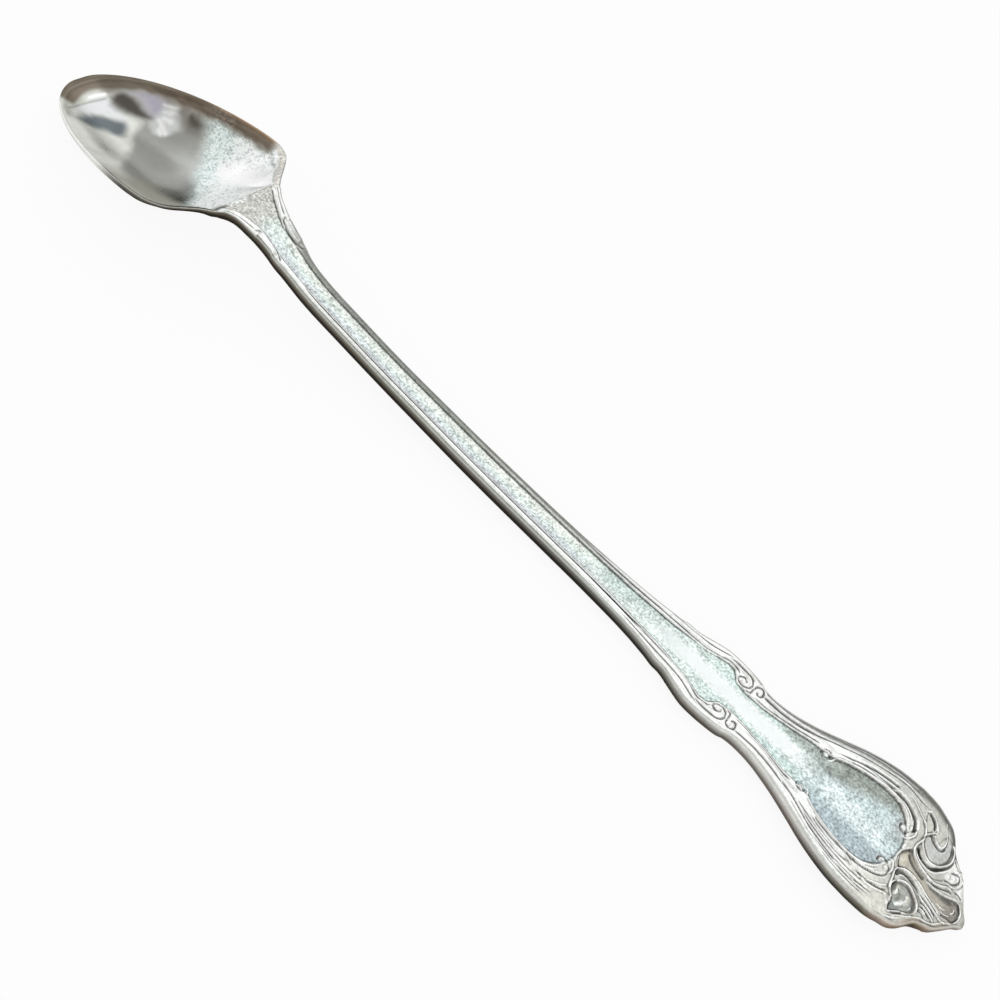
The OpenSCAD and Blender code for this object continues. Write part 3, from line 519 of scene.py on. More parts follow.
def bowl_colour_and_painted_light(x, y):
    """Colour and roughness of the bowl's inside: polished and worn, frosted towards the neck, with
    reflections, highlights and shade painted into its colour.
    """
    c = np.ones(x.shape + (3,)) * BEIGE
    plain_x, plain_y = x, y
    x = plain_x + 0.28 * np.sin(1.3 * plain_y + 0.4 * plain_x) + 0.04 * np.sin(4.3 * plain_y)
    y = plain_y + 0.24 * np.sin(1.1 * plain_x - 0.7 * plain_y) + 0.03 * np.sin(4.1 * plain_x + plain_y)
    # painted reflection: a grey half of the floor, with a crisp left edge, painted darker towards the near
    # rim
    grey = region(x, y, [12, 3.9, 13.3, 1.2, 14.8, -0.8, 18, -4.2, 20.6, -8.4, 24, -14.5, 44, -14.5,
        44, 14.5, 20, 14.5, 17.5, 8, 16.2, 5.4, 14, 4.2], 0.9)
    over(c, (0.36, 0.362, 0.345), grey)
    over(c, (0.66, 0.66, 0.59), grey * fade(x + 0.3 * y, 17, 26) * smooth(-y, 5.5, 9.5))
    over(c, OLIVE, grey * smooth(x + 0.35 * (y + 9), 21, 27) * smooth(-y, 2, 6.5))
    over(c, (0.58, 0.57, 0.51), grey * smooth(x, 22, 27) * smooth(-y, 7.5, 11))
    over(c, (0.5, 0.51, 0.485), grey * smooth(y, 0, 5) * smooth(x, 17, 25))
    # painted sheen: a near-white painted reflection on the near side towards the tip, where the surface is
    # also rougher
    painted_sheen = smooth(-y, 4, 8.5) * smooth(x, 6, 9) * fade(x + 0.3 * y, 12, 22)
    over(c, (1, 1, 0.96), painted_sheen * 0.95)
    # painted reflections near the tip: pale, slate and dark streaks, a dark line and a white painted
    # highlight
    over(c, (0.74, 0.75, 0.76), region(x, y, [4.6, 1, 6.5, 1.9, 9.2, 2.3, 10.9, 2, 9.2, 0.7, 7.2, -1.8,
        6.1, -5.4, 5, -4.2, 4.5, -1.5], 0.9))
    over(c, SLATE, region(x, y, [7, -2.8, 8.6, -0.6, 9.8, 0.9, 10.9, 1, 12.4, -0.4, 12.3, -1.6, 10.6, -3,
        9.6, -4.6, 8.5, -6, 7, -4.6], 0.95) * 0.95)
    over(c, DARK_REFLECTION, region(x, y, [4.9, 2, 5.6, 4.2, 7.6, 5.1, 9.8, 5.5, 12.4, 5.3, 10.4, 3.6, 8, 2.3,
        6.2, 1.5], 0.95) * 0.95)
    over(c, (0.24, 0.21, 0.18), region(x, y, [2.8, 2.2, 3.6, 5.4, 5.6, 7.6, 7.4, 8.2, 6.4, 6, 5.2, 4.4,
        4.3, 2.6, 3.6, 1.6], 0.7) * 0.75)
    over(c, (0.3, 0.3, 0.28), patch(plain_x, plain_y, [5, 1.4, 4.75, -1, 5, -3.4, 6, -6.4], 0.2, 0.25)
        * 0.7)
    over(c, (0.55, 0.58, 0.5), patch(x, y, [3.9, -2.5, 4.6, -5.2, 6, -7.6], 0.5, 0.5) * 0.8)
    over(c, (1, 1, 0.98), patch(plain_x, plain_y, [4.3, 1.8, 3.9, 0.2, 3.85, -0.8], 0.26, 0.3))
    # far wall, painted reflections: a grey shade, lavender and white flecks as painted highlights, a dark
    # blotch
    over(c, (0.36, 0.355, 0.345), patch(x, y, [9, 8, 12.5, 9.2, 16, 9.9], 0.7, 0.7) * 0.85)
    over(c, (0.5, 0.475, 0.58), region(x, y, [6.3, 5.4, 7.6, 7, 10, 8.1, 12.6, 8.4, 13.8, 7.2, 12.9, 5.7,
        9.6, 5.9], 1.1) * 0.9)
    over(c, (0.72, 0.75, 0.75), region(x, y, [12.6, 5, 13, 8.9, 15.4, 8.7, 16.9, 6, 14.8, 4.3, 12.9, 4.2],
        0.8))
    for path, size in (
            ([12.2, 8.2, 13.4, 8.7, 14.6, 9], 0.12), ([13.8, 7.9, 15.2, 8.4], 0.2),
            ([13.2, 7.3, 14.2, 7.5], 0.15), ([14, 6.4, 15.3, 6.8], 0.35), ([13.4, 5.6, 16.2, 5.4], 0.35),
            ([14.6, 4.9, 15.4, 4.8], 0.3)):
        over(c, (1, 1, 1), patch(x, y, path, size, 0.4))
    over(c, (0.29, 0.285, 0.27), patch(x, y, [15.2, 8.9, 18, 8.6, 22, 9.6, 25, 10.6], 0.9, 0.8) * 0.9)
    over(c, (0.12, 0.115, 0.1), patch(x, y, [17.3, 9.3, 19.2, 9.5, 21, 10.1], 0.5, 0.6) * 0.95)
    # frosted rear, painted brighter as a reflection, with a white painted highlight at its core; painted
    # shade in the dull line under its rim and along the seam to the neck
    frost = np.maximum(smooth(x - 0.9 * (8.6 - y), 19.6, 24.6), smooth(x, 33.5, 37.5))
    frost = frost * smooth(11.9 - y + 0.02 * (x - 30) ** 2, -0.2, 0.8)
    over(c, (0.81, 0.92, 0.91), frost)
    over(c, (0.98, 1.03, 1.03), frost * smooth(x - 0.4 * (8 - y), 25.5, 31.5) * (1 - smooth(-y, 2, 7)
        * 0.35))
    over(c, (1, 1, 1), patch(x, y, [30.5, 7.2, 34, 6.8, 38, 5.6], 2, 1.6))
    over(c, (0.33, 0.34, 0.32), patch(x, y, [24.5, 11.2, 29.5, 12.1, 33.5, 11.7, 37.2, 9.8, 40.6, 6.6],
        0.14, 0.3) * 0.8)
    over(c, (0.32, 0.31, 0.29), patch(x, y, [41.9, 5.6, 41.6, 3, 41.9, 0, 41.7, -3.6], 0.14, 0.22) * 0.75)
    x, y = plain_x, plain_y
    s = np.where(x < BOWL_LENGTH, polar_share(np.minimum(x, BOWL_LENGTH), y), 0)
    rim_painted_light(c, x, y, s)
    worn = smooth(s, 0.9, 0.96) * smooth(-y, 3, 6) * fade(x, 24, 30)
    rough = 0.2 + 0.3 * frost + 0.28 * np.maximum(painted_sheen, worn)
    rough = np.maximum(rough, 0.2 + 0.33 * smooth(-y, 2.5, 7.5) * smooth(x, 12, 20))
    core = patch(x, y, [31.6, 6.6, 34, 6.4, 37.5, 6], 2.2, 2)
    return c, rough - 0.16 * core, frost * (0.85 - 0.75 * core)


def rim_painted_light(c, x, y, s):
    """Painted reflections: a brown band round the tip and along the far rim; painted shade darkens the near
    rim towards the neck.
    """
    far = smooth(y + 1.05 * np.maximum(0, 9.2 - x), -1.5, 1) * fade(x, 32.5, 35)
    inner = np.interp(x, [0, 3, 8, 14, 20, 30], [0.855, 0.86, 0.875, 0.88, 0.865, 0.9])
    uneven = np.sin(x * 0.9 + 1) * np.sin(x * 0.37 + s * 21) + 0.5 * np.sin(x * 2.3 + s * 40)
    over(c, (0.36, 0.35, 0.31), smooth(s, inner - 0.07, inner) * far * 0.6)
    waved = inner + 0.012 * uneven
    over(c, (0.225, 0.188, 0.15), smooth(s, waved - 0.03, waved + 0.02) * far)
    dark = smooth(uneven * 0.5 + np.sin(s * 48 + x * 0.1 + 0.5 * np.sin(x * 0.7)), -0.4, 1.5)
    over(c, (0.1, 0.083, 0.065), dark * smooth(s, inner - 0.01, inner + 0.03) * far * 0.55)
    light = smooth(np.sin(s * 75 - x * 0.2 + 0.6 * uneven), 0.2, 1.2)
    over(c, (0.4, 0.35, 0.28), light * smooth(s, inner + 0.01, inner + 0.04) * far * 0.35)
    over(c, (0.17, 0.15, 0.115), smooth(s, 0.965, 0.99) * far * fade(x, 14, 24) * 0.8)
    over(c, (0.46, 0.31, 0.2), smooth(s, 0.95, 0.98) * far * smooth(x, 16, 25) * 0.85)
    over(c, (0.62, 0.58, 0.53), smooth(s, 0.93, 0.96) * (y > 0) * smooth(x, 32.5, 35) * 0.8)
    # painted shade along the near rim towards the neck; a pale painted reflection on it towards the tip
    near = smooth(-y, 3, 5) * smooth(x, 22, 27)
    over(c, (0.3, 0.285, 0.24), smooth(s, 0.86, 0.94) * near * 0.8)
    over(c, (0.06, 0.05, 0.038), smooth(s, 0.95, 0.972) * near * 0.95)
    over(c, (0.78, 0.78, 0.74), smooth(s, 0.95, 0.97) * smooth(-y, 5.5, 8) * fade(x, 20, 25))


# cross-sections from tip to tip
QUARTER = np.linspace(0, np.pi / 2, 120)
STRETCHES = [(BOWL_WIDEST, 38, 36), (38, 60, 150), (60, 118, 130), (118, 138, 90), (138, 162, 200),
             (162, 175, 120), (175, 185.5, 130)]
STATIONS = np.unique(np.round(np.concatenate([
    BOWL_WIDEST * (1 - np.cos(QUARTER[1:])),
    *(np.linspace(start, end, n, endpoint=False) for start, end, n in STRETCHES),
    185.5 + 1.5 * np.sin(np.linspace(0, np.pi / 2, 26)), [BOWL_LENGTH, NECK_END, HEAD_START]]), 5))
STATIONS = STATIONS[STATIONS > 0.004]
STATIONS[-1] = LENGTH - 0.002
COLUMNS, BACK_COLUMNS = 171, 45
# where the bowl's heights, relief, back and colours pass over into the handle's
FRONT_JOIN, RELIEF_JOIN, BACK_JOIN, COLOUR_JOIN = (41.3, 43.3), (41.2, 43.6), (39, 43.6), (41.4, 43)
BOWL_REACH, HANDLE_REACH = 44.5, 39.5
FINE_BLUR, WIDE_BLUR, FLOOR_BLUR, END_ROUND = 0.16, 0.5, 1.1, 0.7


def spread(n, even):
    """n places from 1 to -1, closer together towards both ends where even is less than 1."""
    t = np.linspace(1, -1, n)
    return even * t + (1 - even) * np.sin(t * np.pi / 2)


def end_round(x, r):
    """Falls from 1 to 0 over the last r mm at either end, as a quarter circle."""
    near = np.minimum(x, LENGTH - x)
    return np.sqrt(np.clip(1 - (1 - np.clip(near / r, 0, 1)) ** 2, 0, 1))


def stem_share(x):
    return between(x, 46, 54, 112, 132)


def border_colour_and_painted_shade(x, y, e):
    """Pale at the shoulders; painted shade beside the stem, darker on its far side, olive-grey with a dark
    outer line on its near side, a dark line along its groove and a dark band along the far outer edge;
    greyer at the end and beige low at the tip.
    """
    c = np.ones(x.shape + (3,)) * BAND
    far, stem = y > 0, stem_share(x)
    # painted shade on the stem's borders: the far border darker, the near border olive-grey with a darker
    # outer line
    over(c, (0.24, 0.245, 0.225), stem * far)
    over(c, (0.42, 0.43, 0.39), stem * ~far * fade(e, 0.35, 0.75))
    over(c, (0.24, 0.235, 0.2), stem * ~far * fade(e, 0.1, 0.4))
    # painted shade along the groove beside the stem's panel
    line = np.interp(x, [58, 80, 100, 118, 128, 134], [1.52, 1.46, 1.5, 1.66, 1.95, 2.2])
    over(c, (0.16, 0.165, 0.17), fade(np.abs(y + line), 0.04, 0.13) * between(x, 56, 62, 128, 136) * 0.85)
    # painted shade on the far outer side of the end
    over(c, (0.52, 0.54, 0.51), smooth(x, 160, 168) * far * smooth(y, 5.5, 7) * 0.9)
    over(c, (0.56, 0.56, 0.51), smooth(x, 170, 176))
    over(c, (0.68, 0.67, 0.61), smooth(x, 168, 174) * smooth(-y, 6, 7.4))
    over(c, (0.92, 0.93, 0.9), smooth(x, 180.8, 182) * smooth(y, 1.8, 2.6))
    over(c, (0.43, 0.33, 0.24), smooth(x, 178.5, 180.5) * ~far * fade(e, 0.35, 0.8) * fade(x, 184, 186)
        * 0.7)
    outer = np.interp(x, [42, 50, 118, 128, 142, 150, 156, 164, 172, 178, 181, 183],
        [0.1, 0.25, 0.25, 0.4, 0.3, 0.95, 1.25, 1.5, 1.8, 1.6, 0.9, 0.1])
    # painted shade: a dark band along the far outer edge, widest at the end
    over(c, OUTER_SHADE, far * fade(e, outer * 0.55, outer * 1.1) * fade(x, 181, 183) * 0.92)
    return c


def panel_colour_and_painted_light(x, y):
    """Frosted panel with painted reflections and shade: bluish on the near side and pale on the far side of
    the stem, a bare streak in the flare painted pale as a highlight, painted darker in the end, most on its
    far side.
    """
    p = np.ones(x.shape + (3,)) * FROST
    stem = stem_share(x)
    over(p, (0.6, 0.585, 0.55), fade(x - 0.3 * np.abs(y), 45, 48.5) * 0.9)
    # painted reflections across the stem: bluish on the near side, pale on the far side, darker on the far
    # half towards the shoulders
    over(p, (0.6, 0.63, 0.66), stem * smooth(-y, -0.3, 0.9) * 0.8)
    over(p, (0.88, 0.92, 0.85), stem * smooth(y, 0, 1.3) * 0.85)
    over(p, (0.62, 0.72, 0.69), between(x, 114, 124, 130, 137) * smooth(y, -0.6, 0.6))
    # a bare streak, painted pale as a highlight, with painted shade on both its sides
    streak = between(x, 124, 140, 156, 162.5)
    over(p, (0.66, 0.78, 0.75), between(x, 136, 146, 160, 166) * smooth(np.abs(y - 0.2), 1, 1.8))
    over(p, (0.93, 0.98, 0.98), streak * fade(np.abs(y - 0.25), 0.8, 1.9))
    # painted shade towards the far side of the end, a pale painted highlight near its middle, bluish
    # painted reflection on its near side
    head = smooth(x, 157, 163)
    over(p, (0.62, 0.72, 0.73), head)
    over(p, (0.35, 0.385, 0.355), head * smooth(y - 0.35 * (x - 168), 1.6, 4.4))
    over(p, (0.4, 0.44, 0.41), between(x, 150, 156, 160, 164) * smooth(y, 1.3, 2.4) * 0.85)
    over(p, (0.42, 0.44, 0.43), smooth(x, 171, 174) * smooth(y, -1, 3.5) * 0.8)
    over(p, (0.84, 0.93, 0.94), patch(x, y, [163.5, -0.3, 166.5, -0.8, 171, -1], 1.2, 1.2) * 0.8)
    over(p, (0.43, 0.51, 0.545), head * smooth(-y, 1.6, 3.8) * 0.85)
    return p


def tip_colour_and_painted_light(c, x, y):
    """Brown-grey fluted leaf, grey disc, and a shell painted pale and dark as highlights and shade on its
    ridges and hollows; dark painted reflections on the beads.
    """
    tip = smooth(x, 4.9, 6)
    in_leaf = region(x, y, [5.1, -0.8, 5.3, 0.4, 6.05, 1.3, 7.5, 0.2, 10, -0.4, 12, -0.15, 14.7, 1.2,
        15.5, 0, 15.2, -1.4, 13, -2.1, 9.5, -1.5, 7, -1.45, 5.9, -2.1], 0.2)
    over(c, (0.48, 0.45, 0.39), tip * in_leaf)
    over(c, (0.7, 0.66, 0.54), in_leaf * patch(x, y, [6, 0.3, 5.9, -0.9, 6.2, -1.5], 0.25, 0.5) * 0.8)
    over(c, (0.8, 0.84, 0.84), patch(x, y, [9.6, -2.5, 11, -2.9, 12.2, -3.1], 0.3, 0.4) * 0.6)
    # dark painted reflections on the two beads
    for place, width in ((3.45, -3.25), (3.35, 3.35)):
        over(c, (0.22, 0.23, 0.22), fade(np.hypot(x - place, y - width), 0.22, 0.62) * 0.8)
    over(c, (0.3, 0.275, 0.25), in_leaf * smooth(x, 12.8, 14.4) * 0.85)
    over(c, (0.54, 0.55, 0.53), region(x, y, [6.9, 4.2, 7.6, 3.1, 8.8, 2.6, 10, 3.3, 10.6, 4.8, 10.2, 6.4,
        9.4, 6.8, 9.2, 5.2, 8.4, 4.9, 7.4, 5.3], 0.2))
    # painted shade in the shell's hollows: under its cap, in its lower corner and over its floor
    over(c, (0.3, 0.31, 0.29), region(x, y, [6.2, -3.2, 6.6, -2.5, 7.6, -2.3, 9.2, -2.7, 10.6, -3.6,
        11.2, -4.6, 10.7, -5, 9.8, -3.8, 8.2, -3.1, 6.9, -3.5], 0.2) * 0.8)
    over(c, (0.22, 0.235, 0.23), region(x, y, [7.2, -6.6, 7.3, -8.1, 8.9, -6.9, 8.6, -6.5], 0.2) * 0.9)
    over(c, (0.34, 0.35, 0.33), region(x, y, [6.6, -4.3, 7.6, -3.6, 9.2, -3.9, 10.2, -4.9, 9.6, -6.2,
        8.2, -6.6, 7.2, -6.2, 6.5, -5.4], 0.25) * 0.8)
    # painted highlights and painted shade on the shell's ridges and hollows
    for light, size, path in (
            ((0.17, 0.17, 0.15), 0.2, [6.85, -4.4, 6.75, -5, 6.9, -5.6]),
            ((0.2, 0.22, 0.22), 0.22, [9.7, -4.5, 9.95, -5.1, 9.8, -5.8]),
            ((0.22, 0.225, 0.21), 0.16, [7.75, -6.1, 7.95, -5.6, 7.9, -5]),
            ((0.9, 0.89, 0.77), 0.19, [7.25, -4.5, 7.38, -5, 7.2, -5.5]),
            ((0.92, 0.92, 0.84), 0.23, [8.95, -4.6, 9.15, -5.15, 8.95, -5.7]),
            ((0.95, 1, 0.98), 0.2, [8.05, -6.6, 8.4, -6.15, 8.55, -5.75]),
            ((0.74, 0.79, 0.79), 0.14, [8.65, -7.2, 9.2, -6.75])):
        over(c, light, patch(x, y, path, size, 0.17))


def front_colour_and_painted_light(x, y, h, r, on_handle):
    """Base colour, with its painted light and shade, roughness and grain of the front."""
    colour, rough, grain = bowl_colour_and_painted_light(x, y)
    x, y, h = x[on_handle], y[on_handle], h[on_handle]
    fine, wide = (blurred(r, x[:, 0], y, size) - r for size in (FINE_BLUR, WIDE_BLUR))
    panel = panel_share(x, y)
    c = border_colour_and_painted_shade(x, y, from_edge(x, y, h))
    c += (panel_colour_and_painted_light(x, y) - c) * panel[..., None]
    tip_colour_and_painted_light(c, x - TIP_START, y)
    # painted highlight on the crests, dimmed on the stem's far side, and painted shade in the grooves,
    # deepest in wide hollows
    dim = 0.85 * stem_share(x) * (y > 0) * (1 - smooth(x, 84, 104) * 0.6)
    over(c, CREST_HIGHLIGHT, smooth(-fine, 0.014, 0.045) * 0.95 * (1 - dim))
    shell = region(x, y, [176.9, -4.6, 177.9, -4, 179.2, -4.3, 180, -5.1, 179.5, -6.2, 178, -7.4,
        177.4, -6.9], 0.3)
    over(c, GROOVE_SHADE, smooth(fine, 0.012, 0.05) * (0.88 - 0.5 * shell))
    over(c, DEEP_GROOVE_SHADE, smooth(wide, 0.15, 0.3) * 0.8)
    bare = fade(np.abs(y - 0.25), 0.5, 1.9) * between(x, 128, 136, 154, 161.5)
    way = smooth(x, *COLOUR_JOIN)
    colour[on_handle] += (c - colour[on_handle]) * way[..., None]
    rough[on_handle] += (0.26 + 0.2 * panel - rough[on_handle]) * way
    grain[on_handle] += (0.35 + 0.65 * panel * (1 - bare) - 0.3 * panel * bare - grain[on_handle]) * way
    return colour, rough, grain


# painted shade of the sides: for each place along the spoon, the tones at the top, middle and bottom of a
# side, darker downwards
WALL_X = [42, 58, 120, 134, 144, 153, 162, 168, 175, 178, 180, 181.3, 183, 187]
WALL_SHADE = np.array([
    [.28, .28, .25, .46, .48, .44, .5, .52, .49, .64, .65, .62, .74, .75, .72, .92, .93, .9,
        .88, .88, .85, .74, .74, .71, .62, .61, .56, .72, .67, .6, .66, .58, .49, .32, .28, .18,
        .6, .53, .46, .74, .72, .67],
    [.11, .092, .068, .19, .175, .14, .17, .165, .14, .24, .235, .21, .34, .335, .3, .62, .62, .58,
        .5, .48, .45, .28, .265, .24, .2, .19, .155, .44, .36, .3, .36, .28, .2, .09, .065, .025,
        .34, .27, .215, .52, .48, .43],
    [.022, .018, .012, .022, .016, .011, .014, .011, .008, .025, .021, .016, .07, .06, .047,
        .17, .155, .135, .13, .105, .09, .045, .04, .034, .045, .041, .029, .24, .18, .145,
        .19, .135, .085, .04, .027, .008, .2, .145, .11, .36, .32, .27],
]).reshape(3, -1, 3)


def side_colour_and_painted_light(x, y, n):
    """Base colour of the sides, whose first and last n columns they are, and of the plain back. The sides
    carry painted shade that darkens downwards, and painted reflections on the bowl's outer walls.
    """
    m = x.shape[1]
    column = np.arange(m)[None, :] * np.ones_like(x)
    right, left = column < n, column >= m - n
    down = np.where(right, column / (n - 1), np.where(left, (m - 1 - column) / (n - 1), 1))
    c = np.ones(x.shape + (3,)) * BACK
    # painted shade down each side, from the tones in the table above
    over(c, (0.6, 0.61, 0.58), (right | left) * fade(down, 0, 0.2))
    side = (right | left) * smooth(down, 0, 0.12) * (1 - 0.35 * smooth(down, 0.85, 1))
    shade, middle, low = (np.stack([np.interp(x, WALL_X, tone) for tone in rows.T], -1) for rows in WALL_SHADE)
    over(shade, middle, smooth(down, 0.1, 0.26))
    over(shade, low, smooth(down, 0.27, 0.47))
    over(c, shade, side * np.interp(x, [0, 22, 29, 40], [0, 0, 0.9, 1]))
    # painted reflections on the bowl's outer walls: pale on the near wall towards the tip, dark brown at
    # the tip and on the far wall
    over(c, (0.97, 0.97, 0.94), right * fade(x, 20, 27) * smooth(-y, 3.5, 6))
    over(c, (0.22, 0.19, 0.155), right * fade(-y, 5, 7.5) * (x < 20))
    over(c, (0.3, 0.25, 0.2), left * fade(x, 28, 32))
    return c


def front_section(x, h, inset):
    """Widths and heights of the front at each station, and the relief on the handle."""
    X, H = np.repeat(x[:, None], COLUMNS, 1), np.repeat(h[:, None], COLUMNS, 1)
    Y = (h - inset)[:, None] * spread(COLUMNS, 0.72)
    in_bowl, on_handle = x < BOWL_REACH, x > HANDLE_REACH
    bowl_x, bowl_y = X[in_bowl], Y[in_bowl]
    bowl_z = bowl_front(bowl_x, bowl_y)
    even = fade(polar_share(bowl_x, bowl_y), 0.7, 0.9) * fade(bowl_x, 37.5, 40.5)
    Z, handle_z = np.zeros_like(X), np.zeros_like(X)
    Z[in_bowl] = bowl_z + (blurred(bowl_z, x[in_bowl], bowl_y, FLOOR_BLUR) - bowl_z) * even
    hx = X[on_handle]
    r = relief(hx, Y[on_handle], H[on_handle])
    panel = crest_height(np.maximum(hx, BOWL_LENGTH)) - PANEL_DEPTH
    handle_z[on_handle] = panel + r * smooth(hx, *RELIEF_JOIN)
    Z += (handle_z - Z) * smooth(X, *FRONT_JOIN)
    return Y, Z, front_colour_and_painted_light(X, Y, H, r, on_handle)


def back_section(x, h):
    """Half widths of the flat back, and its widths and heights at each station."""
    flat_half = np.where(x < 50, h - np.minimum(np.interp(x, [38, 50], [0.5, 1.2]), 0.6 * h), 0.55 * h)
    flat_half = np.minimum(flat_half, 0.93 * h)
    flat_half += (0.55 * h - flat_half) * smooth(x, 46, 58)
    X = np.repeat(x[:, None], BACK_COLUMNS, 1)
    Y = -flat_half[:, None] * spread(BACK_COLUMNS, 0.6)
    crown = 0.28 * (np.abs(Y) / np.maximum(h[:, None], 0.1)) ** 2 * between(X, 40, 44, 52, 60)
    plain = back_height(np.maximum(X, BOWL_LENGTH)) + crown
    bowl = bowl_back(X, Y)
    return flat_half, Y, bowl + (plain - bowl) * smooth(X, *BACK_JOIN)


def side_section(x, h, inset, low_y, top_z, low_z):
    """Widths and heights of a side: a rounded edge at the top, a plain band and a soft turn to the back."""
    span = np.maximum(top_z - low_z, 0.02)
    r_top = np.minimum(0.4 * span, np.interp(x, [0, 38, 46, 118, 130, 187],
        [0.2, 0.2, 0.3, 0.3, 0.45, 0.45]))
    r_low = np.minimum(0.5 * span, np.interp(x, [0, 38, 50, 130, 150, 187],
        [0.4, 0.4, 0.85, 0.8, 0.6, 0.6]))
    points = []
    for a in np.radians(np.linspace(0, 90, 6)[1:]):
        points.append((h - inset * (1 - np.sin(a)), top_z - r_top * (1 - np.cos(a))))
    for q in (0.25, 0.5, 0.75):
        points.append((h, (top_z - r_top) * (1 - q) + (low_z + r_low) * q))
    for a in np.radians(np.linspace(0, 90, 9)[:-1]):
        points.append((low_y + (h - low_y) * np.cos(a) ** 0.9, low_z + r_low * (1 - np.sin(a) ** 0.9)))
    return np.stack([y for y, _ in points], 1), np.stack([z for _, z in points], 1)


def sections():
    """Rings of points round the spoon, one for each station, and their colour, with its painted light and
    shade, roughness and grain.
    """
    x, h = STATIONS, half(STATIONS)
    inset = np.minimum(0.3 * h, np.interp(x, [0, 38, 44, 118, 130, 187],
        [0.22, 0.22, 0.3, 0.3, 0.5, 0.5]))
    Y, Z, (finish_with_painted_light, rough, grain) = front_section(x, h, inset)
    low_y, YB, ZB = back_section(x, h)
    top_z, low_z = Z[:, 0], ZB[:, -1]
    side_y, side_z = side_section(x, h, inset, low_y, top_z, low_z)
    # order round the section: front from +y to -y, right side down, back from -y to +y, left side up
    ys = np.concatenate([Y, -side_y, YB, side_y[:, ::-1]], 1)
    right_z = side_z + (Z[:, -1] - top_z)[:, None] * np.linspace(1, 0, side_z.shape[1])
    zs = np.concatenate([Z, right_z, ZB, side_z[:, ::-1]], 1)
    zs += ((top_z + low_z)[:, None] / 2 - zs) * (1 - end_round(x, END_ROUND))[:, None]
    xs = np.repeat(x[:, None], ys.shape[1], 1)
    edge = side_colour_and_painted_light(xs[:, COLUMNS:], ys[:, COLUMNS:], side_y.shape[1])
    plain = np.ones(edge.shape[:2])
    finish_with_painted_light = np.concatenate([finish_with_painted_light, edge], 1)
    rough, grain = np.concatenate([rough, 0.42 * plain], 1), np.concatenate([grain, 0.15 * plain], 1)
    lean = -TIP_LEAN * np.clip((x - WIDEST_X) / (LENGTH - WIDEST_X), 0, 1) ** 2
    return xs, ys + lean[:, None], zs, np.concatenate([finish_with_painted_light, rough[..., None], grain[..., None]], -1)


def quads(n, m):
    """Faces between n rings of m points each."""
    ring, start = np.arange(m), np.arange(n - 1)[:, None] * m
    a, b = start + ring, start + (ring + 1) % m
    return np.stack([a, b, b + m, a + m], -1).reshape(-1, 4)


def point_normals(points):
    """Normals of the whole skin, which its pieces share where they meet."""
    n, m, _ = points.shape
    flat, faces = points.reshape(-1, 3), quads(n, m)
    a, b, c, d = (flat[faces[:, k]] for k in range(4))
    square = np.cross(c - a, d - b)
    normals = np.zeros_like(flat)
    for k in range(4):
        np.add.at(normals, faces[:, k], square)
    normals[:m], normals[-m:] = [-1, 0, 0], [1, 0, 0]
    normals /= np.maximum(np.linalg.norm(normals, axis=1, keepdims=True), 1e-20)
    return normals.reshape(n, m, 3)


def piece(name, points, normals, faces, finish_with_painted_light):
    """One piece of the metal, with colour, painted light and shade included, roughness and grain at each of
    its points.
    """
    mesh = bpy.data.meshes.new(name)
    mesh.from_pydata(points.tolist(), [], faces)
    mesh.shade_smooth()
    mesh.normals_split_custom_set_from_vertices(normals.tolist())
    layer = mesh.attributes.new("finish_with_painted_light", "FLOAT_COLOR", "POINT")
    layer.data.foreach_set("color", np.c_[finish_with_painted_light[:, :3], np.ones(len(finish_with_painted_light))].astype(np.float32).ravel())
    for label, values in (("rough", finish_with_painted_light[:, 3]), ("grain", finish_with_painted_light[:, 4])):
        layer = mesh.attributes.new(label, "FLOAT", "POINT")
        layer.data.foreach_set("value", values.astype(np.float32))
    obj = bpy.data.objects.new(name, mesh)
    bpy.context.scene.collection.objects.link(obj)
    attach(obj, "root")
    return obj


def build(xs, ys, zs, finish_with_painted_light):
    """One closed surface, cut into the pieces that meet at the CAD's joints."""
    points = np.stack([xs - LENGTH / 2, ys, zs], -1) * MM
    normals = point_normals(points)
    m = xs.shape[1]
    out = []
    cuts = [0, BOWL_LENGTH, NECK_END, HEAD_START, LENGTH]
    names = ("bowl_metal", "neck_metal", "stem_metal", "handle_end_metal")
    for name, lo, hi in zip(names, cuts, cuts[1:]):
        rows = (STATIONS >= lo - 1e-6) & (STATIONS <= hi + 1e-6)
        p, n, f = (values[rows].reshape(-1, values.shape[-1]) for values in (points, normals, finish_with_painted_light))
        faces = quads(rows.sum(), m).tolist()
        # the first and last ring close in a fan of triangles
        for end, ring in ((-1, 0), (1, len(p) - m)):
            if rows[0 if end < 0 else -1]:
                row = 0 if end < 0 else -1
                middle = [end * LENGTH / 2 * MM, ys[row].mean() * MM, zs[row].mean() * MM]
                for q in range(m):
                    pair = (ring + q, ring + (q + 1) % m)
                    faces.append((len(p), *pair[::end]))
                p, n = np.vstack([p, middle]), np.vstack([n, [end, 0, 0]])
                f = np.vstack([f, [*BEIGE, 0.3, 0.1]])
        out.append(piece(name, p, n, faces, f))
    return out


bowl, neck, stem, handle_end = build(*sections())
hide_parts("bowl")
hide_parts("neck", "left_neck_leaf", "right_neck_leaf")
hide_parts("stem", "left_stem_border", "right_stem_border")
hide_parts("handle_end", "left_end_border", "right_end_border",
            "left_shoulder_scroll", "right_shoulder_scroll", "left_panel_bead", "right_panel_bead",
            "left_panel_hook", "right_panel_hook", "tip_channel", "tip_comma", "tip_cradle", "tip_curl",
            "tip_shell", "tip_shell_cap", "tip_sprigs")


# materials
def node(tree, kind, inputs, **settings):
    """A new node. Each input is given a socket to link from, or a value."""
    new = tree.nodes.new("ShaderNode" + kind)
    new.location = (200 * len(tree.nodes), 0)
    for key, value in settings.items():
        setattr(new, key, value)
    for key, value in inputs.items():
        if isinstance(value, bpy.types.NodeSocket):
            tree.links.new(value, new.inputs[key])
        else:
            new.inputs[key].default_value = value
    return new


